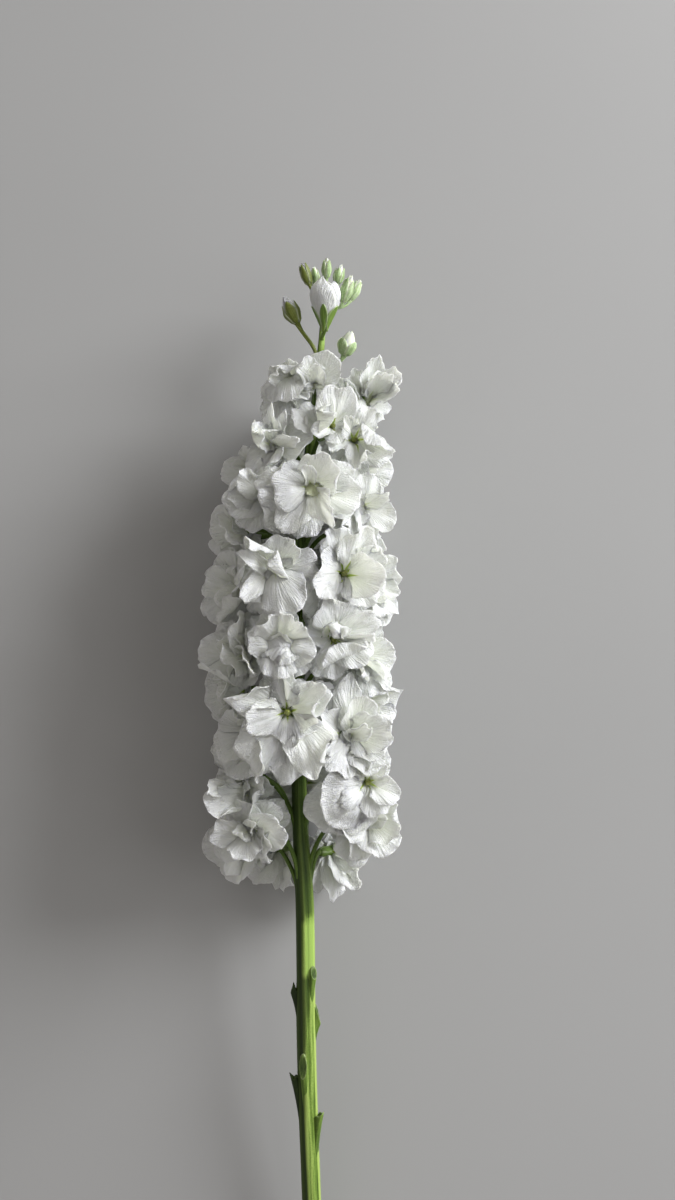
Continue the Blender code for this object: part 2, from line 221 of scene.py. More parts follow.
# ---------------------------------------------------------------- mesh building
class Build:
    """Collects closed sheets and tubes into one mesh, with the numbers that the materials read."""

    def __init__(self):
        self.points, self.quads, self.tris = [], [], []
        self.flat, self.kind = [], []
        self.count = 0

    def add(self, points, quads, tris, flat, kind):
        self.points.append(points)
        if len(quads):
            self.quads.append(np.asarray(quads) + self.count)
        if len(tris):
            self.tris.append(np.asarray(tris) + self.count)
        self.flat.append(flat)
        self.kind.append(kind)
        self.count += len(points)

    def sheet(self, p, thick, flat, kind):
        """A closed shell round the grid p (rows, columns, 3), thick at each point."""
        n, m = p.shape[:2]
        du = np.gradient(p, axis=0)
        dv = np.gradient(p, axis=1)
        normal = np.cross(dv, du)
        normal /= np.maximum(np.linalg.norm(normal, axis=2, keepdims=True), 1e-9)
        half = normal * (np.asarray(thick) / 2)[..., None]
        points = np.concatenate([(p + half).reshape(-1, 3), (p - half).reshape(-1, 3)])
        i = np.arange(n * m).reshape(n, m)
        top = np.stack([i[:-1, :-1], i[:-1, 1:], i[1:, 1:], i[1:, :-1]], -1).reshape(-1, 4)
        low = top[:, ::-1] + n * m
        rim = np.concatenate([i[0, :-1], i[:-1, -1], i[-1, :0:-1], i[:0:-1, 0]])
        nxt = np.roll(rim, -1)
        side = np.stack([rim, rim + n * m, nxt + n * m, nxt], -1)
        self.add(
            points,
            np.concatenate([top, low, side]),
            (),
            np.tile(flat.reshape(-1, 3), (2, 1)),
            np.tile(kind.reshape(-1, 3), (2, 1)),
        )

    def tube(self, path, radii, sides, kind, bumps=None):
        """A closed tube through path with a radius at each point; bumps scales it by angle."""
        path = np.asarray(path, float)
        n = len(path)
        tangent = np.gradient(path, axis=0)
        tangent /= np.linalg.norm(tangent, axis=1, keepdims=True)
        across = np.cross(tangent[0], vec(0.13, 0.2, 1.0))
        rings, flat = [], []
        length = 0.0
        a = np.linspace(0, 2 * np.pi, sides, endpoint=False)
        for k in range(n):
            across = unit(across - tangent[k] * (across @ tangent[k]))
            other = np.cross(tangent[k], across)
            if k:
                length += np.linalg.norm(path[k] - path[k - 1])
            r = radii[k] * (1.0 if bumps is None else bumps(a, k / (n - 1)))
            rings.append(
                path[k]
                + np.outer(np.cos(a) * r, across)
                + np.outer(np.sin(a) * r, other)
            )
            flat.append(np.stack([a * radii[k], np.full(sides, length), np.zeros(sides)], 1))
        points = np.concatenate(rings + [path[:1], path[-1:]])
        i = np.arange(n * sides).reshape(n, sides)
        j = np.roll(i, -1, axis=1)
        quads = np.stack([i[:-1], j[:-1], j[1:], i[1:]], -1).reshape(-1, 4)
        first, last = n * sides, n * sides + 1
        tris = np.concatenate(
            [
                np.stack([j[0], i[0], np.full(sides, first)], 1),
                np.stack([i[-1], j[-1], np.full(sides, last)], 1),
            ]
        )
        flat = np.concatenate(flat + [vec(0, 0, 0)[None], vec(0, length, 0)[None]])
        kinds = np.zeros((len(points), 3)) + kind
        kinds[:-2, 0] = np.repeat(np.linspace(0, 1, n), sides)
        kinds[-1, 0] = 1.0
        self.add(points, quads, tris, flat, kinds)

    def loft(self, rings, flat, kind):
        """A closed body through rings (n, m, 3), each capped by a fan to its middle."""
        n, m = rings.shape[:2]
        points = np.concatenate([rings.reshape(-1, 3), rings[0].mean(0)[None], rings[-1].mean(0)[None]])
        i = np.arange(n * m).reshape(n, m)
        j = np.roll(i, -1, axis=1)
        quads = np.stack([i[:-1], j[:-1], j[1:], i[1:]], -1).reshape(-1, 4)
        tris = np.concatenate(
            [
                np.stack([j[0], i[0], np.full(m, n * m)], 1),
                np.stack([i[-1], j[-1], np.full(m, n * m + 1)], 1),
            ]
        )
        ends = (flat[0].mean(0)[None], flat[-1].mean(0)[None])
        flats = np.concatenate([flat.reshape(-1, 3), *ends])
        kinds = np.concatenate([kind.reshape(-1, 3), kind[0].mean(0)[None], kind[-1].mean(0)[None]])
        self.add(points, quads, tris, flats, kinds)

    def finish(self, name, material, move=None):
        points = np.concatenate(self.points)
        if move is not None:
            points = move(points)
        points = (points - ORIGIN) * 0.001
        quads = np.concatenate(self.quads) if self.quads else np.zeros((0, 4), int)
        tris = np.concatenate(self.tris) if self.tris else np.zeros((0, 3), int)
        mesh = bpy.data.meshes.new(name)
        mesh.vertices.add(len(points))
        mesh.vertices.foreach_set("co", points.astype(np.float32).ravel())
        mesh.loops.add(quads.size + tris.size)
        mesh.loops.foreach_set(
            "vertex_index", np.concatenate([quads.ravel(), tris.ravel()]).astype(np.int32)
        )
        mesh.polygons.add(len(quads) + len(tris))
        starts = np.concatenate(
            [np.arange(len(quads)) * 4, quads.size + np.arange(len(tris)) * 3]
        )
        mesh.polygons.foreach_set("loop_start", starts.astype(np.int32))
        mesh.update(calc_edges=True)
        mesh.validate()
        for label, data in (("flat", self.flat), ("kind", self.kind)):
            layer = mesh.attributes.new(label, "FLOAT_VECTOR", "POINT")
            layer.data.foreach_set("vector", np.concatenate(data).astype(np.float32).ravel())
        mesh.shade_smooth()
        mesh.materials.append(material)
        obj = bpy.data.objects.new(name, mesh)
        bpy.context.scene.collection.objects.link(obj)
        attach(obj, "root")
        return obj


# ---------------------------------------------------------------- petals
CLAW_ROWS = 2


def fold(x, y, z, angle, offset, bend, radius):
    """Bends what lies past a line over towards +z, by bend degrees on that radius."""
    nx, ny = math.cos(math.radians(angle)), math.sin(math.radians(angle))
    turn = math.radians(abs(bend))
    flip = 1.0 if bend > 0 else -1.0
    s = nx * x + ny * y - offset
    zz = z * flip
    t = np.clip(s / radius, 0, turn)
    beyond = np.maximum(s - radius * turn, 0)
    s2 = np.where(s > 0, radius * np.sin(t) + beyond * np.cos(t) - zz * np.sin(t), s)
    z2 = np.where(s > 0, radius * (1 - np.cos(t)) + beyond * np.sin(t) + zz * np.cos(t), zz)
    return x + (s2 - s) * nx, y + (s2 - s) * ny, z2 * flip


def petal(rs, rows, cols, **q):
    """One petal as a grid of (out, sideways, up) from its foot on the flower's axis, the thickness,
    and the numbers for its material. Angles are degrees from the axis, lengths millimetres."""
    L, W, claw = q["L"], q["W"], q.get("claw", 5.0)
    v = np.linspace(-1, 1, cols)[None, :]
    n_claw = CLAW_ROWS
    t = np.linspace(0, 1, rows - n_claw + 1)[1:, None]
    s = 1 - (1 - t) ** 1.15
    half = q.get("spread", 1.26)
    theta = v * half
    reach = np.cos(0.92 * theta) ** q.get("square", 0.48)
    reach = reach * (1 - q.get("notch", 0.05) * np.exp(-((theta / 0.2) ** 2)))
    for k in (3, 5, 8):
        reach = reach * (1 + q.get("ragged", 0.022) * rs.randn() * np.cos(k * theta + rs.rand() * 6.3))
    wide = 2 * np.max(reach * np.sin(theta))
    wc = q.get("claw_w", 0.75)
    x = v * wc * (1 - s) ** 2 + (W / wide) * s ** q.get("neck", 1.3) * reach * np.sin(theta)
    y = claw + L * s * reach * np.cos(theta)
    xc = v * wc * np.linspace(0.8, 1.0, n_claw)[:, None]
    yc = np.linspace(0, claw, n_claw + 1)[:-1, None] + 0 * v
    x, y = np.concatenate([xc, x]), np.concatenate([yc, y])
    s = np.concatenate([np.zeros((n_claw, 1)), s]) + 0 * v
    x = x + q.get("skew", 0.0) * np.maximum(y - claw, 0)
    flat_x, flat_y = x.copy(), y.copy()

    # ruffles that grow to the rim, fine pleats, broad soft dents, a shallow groove down the middle
    w = q.get("waves", 6.0) * np.pi / 2
    p1, p2, p3, p4 = rs.rand(4) * 6.3
    z = q.get("ruffle", 0.9) * s**2.2 * (
        0.62 * np.sin(w * v + p1) + 0.38 * np.sin(1.83 * w * v + p2) + 0.2 * np.sin(2.9 * w * v + p3)
    )
    pleat = 1.4 * q.get("pleats", 0.13) * s**2.2 * (0.55 + 0.45 * np.sin(2.3 * v + p2))
    z = z + pleat * np.sin(23.0 * v + 1.6 * np.sin(3.1 * v + p4) + p4)
    for _ in range(3):
        g, k, ph = rs.rand() * np.pi, 2 * np.pi / rs.uniform(5, 12), rs.rand() * 6.3
        z = z + q.get("crumple", 0.3) * np.sqrt(s) * np.sin(k * (x * np.cos(g) + y * np.sin(g)) + ph) / 1.7
    z = z - 0.35 * np.exp(-((x / 1.2) ** 2)) * np.clip(1.2 - s, 0, 1) * (s > 0)
    z = z + q.get("lip", 0.28) * np.maximum(s**14, np.abs(v) ** 20 * np.clip(3 * s, 0, 1)) * np.sin(2.2 * v + p3)
    if "brim" in q:
        drop, b0, b1 = q["brim"]
        down = np.clip((s - b0 - 0.02 * np.sin(9 * v + p3)) / (b1 - b0), 0, 1)
        z = z - drop * down * down * (3 - 2 * down)
    for f in q.get("folds", ()):
        x, y, z = fold(x, y, z, *f)

    # cup across, then bend along the length
    edge = math.radians(q.get("cup", 25.0))
    k = edge / (W / 2) * (1 + q.get("cup_more", 0.0) * (s - 0.5))
    k = np.where(np.abs(k) < 1e-5, 1e-5, k)
    xa = np.sin(k * x) / k - z * np.sin(k * x)
    z = (1 - np.cos(k * x)) / k + z * np.cos(k * x)
    tau = np.radians(q.get("roll", 0.0) + q.get("twist", 0.0) * s)
    x, z = xa * np.cos(tau) - z * np.sin(tau), xa * np.sin(tau) + z * np.cos(tau)
    fine = np.linspace(-2.0, claw + L * 1.25, 90)
    a0, a1, a2, a3 = (math.radians(q.get(c, d)) for c, d in (("start", 8), ("open", 70), ("mid", 85), ("tip", 95)))
    tb = np.clip((fine - claw) / L, 0, 1.2)
    angle = a0 + (a1 - a0) * np.clip(1 + (fine - claw) / max(claw * 0.35, 0.8), 0, 1) ** 1.5
    angle = angle + (a2 - a1) * np.clip(tb / 0.45, 0, 1) ** 0.9 + (a3 - a2) * np.clip((tb - 0.3) / 0.7, 0, 1.3) ** 1.4
    step = fine[1] - fine[0]
    cr = np.concatenate([[0], np.cumsum(np.sin(angle[:-1]) * step)])
    ch = np.concatenate([[0], np.cumsum(np.cos(angle[:-1]) * step)])
    cr, ch = cr - np.interp(0, fine, cr), ch - np.interp(0, fine, ch)
    ang = np.interp(y, fine, angle)
    out = np.interp(y, fine, cr) - z * np.cos(ang)
    up = np.interp(y, fine, ch) + z * np.sin(ang)
    thick = q.get("thick", 0.22) * (1 - 0.45 * s**3 - 0.35 * np.abs(v) ** 6 * (s > 0))
    seed = rs.rand() * 50
    flat = np.stack([flat_x, flat_y, np.full_like(flat_x, seed)], -1)
    kind = np.stack([s, np.abs(v) + 0 * s, np.full_like(s, q.get("tint", rs.rand()))], -1)
    return np.stack([out, x, up], -1), thick, flat, kind


def place(grid, foot, axis, outward):
    """Grid of (out, sideways, up) to the layout's frame."""
    outward = unit(outward - axis * (outward @ axis))
    side = np.cross(axis, outward)
    return foot + grid[..., :1] * outward + grid[..., 1:2] * side + grid[..., 2:] * axis


def around(axis, along, degrees):
    """The direction at that angle round axis, 0 towards the stem's tip, 90 clockwise from it."""
    top = unit(along - axis * (along @ axis))
    a = math.radians(degrees)
    return top * math.cos(a) + np.cross(top, axis) * math.sin(a)


def soft_wall(p, normal, distance, before, beyond):
    s = p @ normal - distance
    room = before + beyond
    t = np.maximum(s + before, 0)
    moved = -before + room * (1 - np.exp(-t / room))
    return p + np.where(s > -before, moved - s, 0.0)[..., None] * normal


# ---------------------------------------------------------------- letting the petals settle
class Crowd:
    """All petals of the spike that have the same rows and columns, moved together."""

    def __init__(self):
        self.owner, self.grid, self.thick, self.flat, self.kind = [], [], [], [], []
        self.growth, self.hold, self.sag = [], [], []

    def add(self, owner, grid, thick, flat, kind, growth, hold, sag):
        for store, value in zip(
            (self.owner, self.grid, self.thick, self.flat, self.kind, self.growth, self.hold, self.sag),
            (owner, grid, thick, flat, kind, growth, hold, sag),
        ):
            store.append(value)

    def ready(self):
        self.P = np.array(self.grid, np.float32)
        self.goal = self.P.copy()
        n, rows, cols = self.P.shape[:3]
        flat = np.array(self.flat, np.float32)[..., :2]
        s = np.array(self.kind, np.float32)[..., 0]
        grow = 1 + 1.35 * np.array(self.growth, np.float32)[:, None, None] * s**3
        self.free = np.ones((n, rows, cols), np.float32)
        self.free[:, : CLAW_ROWS + 1] = 0
        self.free[:, CLAW_ROWS + 1] = 0.5
        self.pull = np.array(self.hold, np.float32)[:, None, None, None] * self.free[..., None]
        self.drop = np.array(self.sag, np.float32)[:, None, None, :] * (self.free * s)[..., None]
        a, b = flat[:, 1:, :] - flat[:, :-1, :], flat[:, :, 1:] - flat[:, :, :-1]
        area = np.zeros((n, rows, cols), np.float32)
        cell = np.abs(a[:, :, :-1, 0] * b[:, :-1, :, 1] - a[:, :, :-1, 1] * b[:, :-1, :, 0]) / 4
        for i in (slice(0, -1), slice(1, None)):
            for j in (slice(0, -1), slice(1, None)):
                area[:, i, j] += cell
        self.area = area
        self.links = []

        def link(i0, j0, di, dj, si, sj, stiff, factor=1.0, short=False):
            ni = (rows - di - i0 + si - 1) // si
            nj = (cols - abs(dj) - j0 + sj - 1) // sj
            if ni < 1 or nj < 1:
                return
            ia, ib = i0, i0 + di
            ja, jb = (j0, j0 + dj) if dj >= 0 else (j0 - dj, j0)
            first = (slice(None), slice(ia, ia + (ni - 1) * si + 1, si), slice(ja, ja + (nj - 1) * sj + 1, sj))
            second = (slice(None), slice(ib, ib + (ni - 1) * si + 1, si), slice(jb, jb + (nj - 1) * sj + 1, sj))
            away = flat[second] - flat[first]
            rest = np.hypot(away[..., 0], away[..., 1]) * factor
            if dj and not di:
                rest = rest * (grow[first] + grow[second]) / 2
            wa, wb = self.free[first], self.free[second]
            share = stiff / np.maximum(wa + wb, 1e-6) * ((wa + wb) > 0)
            self.links.append((first, second, rest, wa * share, wb * share, short))

        for k in (0, 1):
            link(0, k, 0, 1, 1, 2, 1.0)
            link(k, 0, 1, 0, 2, 1, 1.0)
            link(k, 0, 1, 1, 2, 1, 0.45)
            link(k, 0, 1, -1, 2, 1, 0.45)
        for k in range(4):
            link(0, k, 0, 2, 1, 4, 0.30, 0.955, True)
            link(k, 0, 2, 0, 4, 1, 0.30, 0.965, True)

    def solve(self):
        P = self.P
        for first, second, rest, wa, wb, short in self.links:
            a, b = P[first], P[second]
            d = b - a
            length = np.sqrt(np.einsum("...k,...k->...", d, d)) + 1e-6
            c = (length - rest) / length
            if short:
                np.minimum(c, 0, out=c)
            a += d * (c * wa)[..., None]
            b -= d * (c * wb)[..., None]

    def smooth(self, amount):
        P, w = self.P, self.free[..., None]
        P[:, 1:-1] += amount * w[:, 1:-1] * (0.5 * (P[:, :-2] + P[:, 2:]) - P[:, 1:-1])
        P[:, :, 1:-1] += amount * w[:, :, 1:-1] * (0.5 * (P[:, :, :-2] + P[:, :, 2:]) - P[:, :, 1:-1])


LOW = np.array((-62.0, -36.0, -4.0), np.float32)
CELL = 1.5
SIZE = (84, 190, 56)


def push_apart(crowds, gain, most):
    """Moves every petal down the slope of how crowded the space is, so that sheets lie beside each other."""
    points = np.concatenate([c.P.reshape(-1, 3) for c in crowds])
    area = np.concatenate([c.area.reshape(-1) for c in crowds])
    nx, ny, nz = SIZE
    q = np.clip((points - LOW) / CELL, 1.001, np.array(SIZE, np.float32) - 2.001)
    i = q.astype(np.int32)
    f = q - i
    base = (i[:, 0] * ny + i[:, 1]) * nz + i[:, 2]
    corners = []
    full = np.zeros(nx * ny * nz)
    for dx in (0, 1):
        for dy in (0, 1):
            for dz in (0, 1):
                w = (f[:, 0] if dx else 1 - f[:, 0]) * (f[:, 1] if dy else 1 - f[:, 1]) * (f[:, 2] if dz else 1 - f[:, 2])
                at = base + (dx * ny + dy) * nz + dz
                corners.append((at, w))
                full += np.bincount(at, w * area, minlength=full.size)
    full = (full / CELL**2).astype(np.float32).reshape(nx, ny, nz)
    full[1:-1] = 0.25 * (full[:-2] + full[2:]) + 0.5 * full[1:-1]
    full[:, 1:-1] = 0.25 * (full[:, :-2] + full[:, 2:]) + 0.5 * full[:, 1:-1]
    full[:, :, 1:-1] = 0.25 * (full[:, :, :-2] + full[:, :, 2:]) + 0.5 * full[:, :, 1:-1]
    slope = np.zeros((nx, ny, nz, 3), np.float32)
    slope[1:-1, :, :, 0] = full[2:] - full[:-2]
    slope[:, 1:-1, :, 1] = full[:, 2:] - full[:, :-2]
    slope[:, :, 1:-1, 2] = full[:, :, 2:] - full[:, :, :-2]
    slope = slope.reshape(-1, 3)
    move = np.zeros_like(points)
    for at, w in corners:
        move -= slope[at] * w[:, None].astype(np.float32)
    move *= gain
    size = np.sqrt(np.einsum("ij,ij->i", move, move)) + 1e-9
    move *= np.minimum(1, most / size)[:, None]
    start = 0
    for c in crowds:
        count = c.area.size
        c.P += move[start : start + count].reshape(c.P.shape) * c.free[..., None]
        start += count


STEM_Y = np.array([p[1] for p in STEM], np.float32)
STEM_X = np.array([p[0] for p in STEM], np.float32)
STEM_Z = np.array([p[2] for p in STEM], np.float32)
STEM_R = np.array([p[3] for p in STEM], np.float32)


# gaps that the camera sees the stem through: px and py in the photograph's frame, and radius, in 0.4 mm
GAPS = ((312, 448, 10), (301, 543, 7), (297, 606, 5), (268, 661, 6), (304, 664, 5), (315, 510, 6), (298, 835, 10), (299, 865, 12))


def from_gap(P, wx, wy):
    """Offset from a gap's middle as the camera sees it, in units of 0.4 mm, and the scale there."""
    k = 1250.0 / (531.0 - P[..., 2])
    ax = 337.5 + (P[..., 0] - 13.4) * k - wx
    ay = 600.0 - (P[..., 1] - 122.0) * k - wy
    return ax, ay, np.hypot(ax, ay) + 1e-6, k


def covers_gap(grid):
    return any(((from_gap(grid, x, y)[2] < r * 0.85) & (grid[..., 2] > 33.0)).any() for x, y, r in GAPS)


def keep_clear(P, free):
    """Off the stem, gently out of the gaps in front of it, and off the floor."""
    for wx, wy, wide in GAPS:
        ax, ay, away, k = from_gap(P, wx, wy)
        shift = np.where((away < wide) & (P[..., 2] > 33.0), 0.12 * (wide / away - 1) / k, 0) * free
        P[..., 0] += ax * shift
        P[..., 1] -= ay * shift
    y = P[..., 1]
    dx = P[..., 0] - np.interp(y, STEM_Y, STEM_X)
    dz = P[..., 2] - np.interp(y, STEM_Y, STEM_Z)
    far = np.hypot(dx, dz) + 1e-6
    want = np.interp(y, STEM_Y, STEM_R) + 1.6
    grow = np.where((far < want) & (y < TIP_Y), want / far - 1, 0) * free
    P[..., 0] += dx * grow
    P[..., 2] += dz * grow
    np.maximum(P[..., 2], 0.4, out=P[..., 2])


def settle(crowds, steps):
    for c in crowds:
        c.ready()
    for step in range(steps):
        if step % 2 == 0:
            push_apart(crowds, 0.16, 0.30)
        for c in crowds:
            c.P += (c.goal - c.P) * c.pull + c.drop
            c.smooth(0.07 if step < steps * 0.6 else 0.03)
            c.solve()
            if step % 3 == 0:
                keep_clear(c.P, c.free)
    for c in crowds:
        c.smooth(0.15)
        c.solve()
        keep_clear(c.P, c.free)
        c.smooth(0.10)


# ---------------------------------------------------------------- rosettes
BROAD, MIDDLE, SMALL, NUB = (15, 25), (12, 17), (9, 11), (7, 7)
CROWDS = {shape: Crowd() for shape in (BROAD, MIDDLE, SMALL, NUB)}


def ease_in(p, planes, stem_out, stem_at):
    """Bends a petal's grid back from its neighbours' middles and from the stem."""
    for normal, distance in planes:
        p = soft_wall(p, normal, distance, 1.0, 8.0)
    p = soft_wall(p, -stem_out, -(stem_at + 8.0), 5.0, 2.0)
    return soft_wall(p, vec(0, 0, -1), -0.5, 3.0, -0.02)


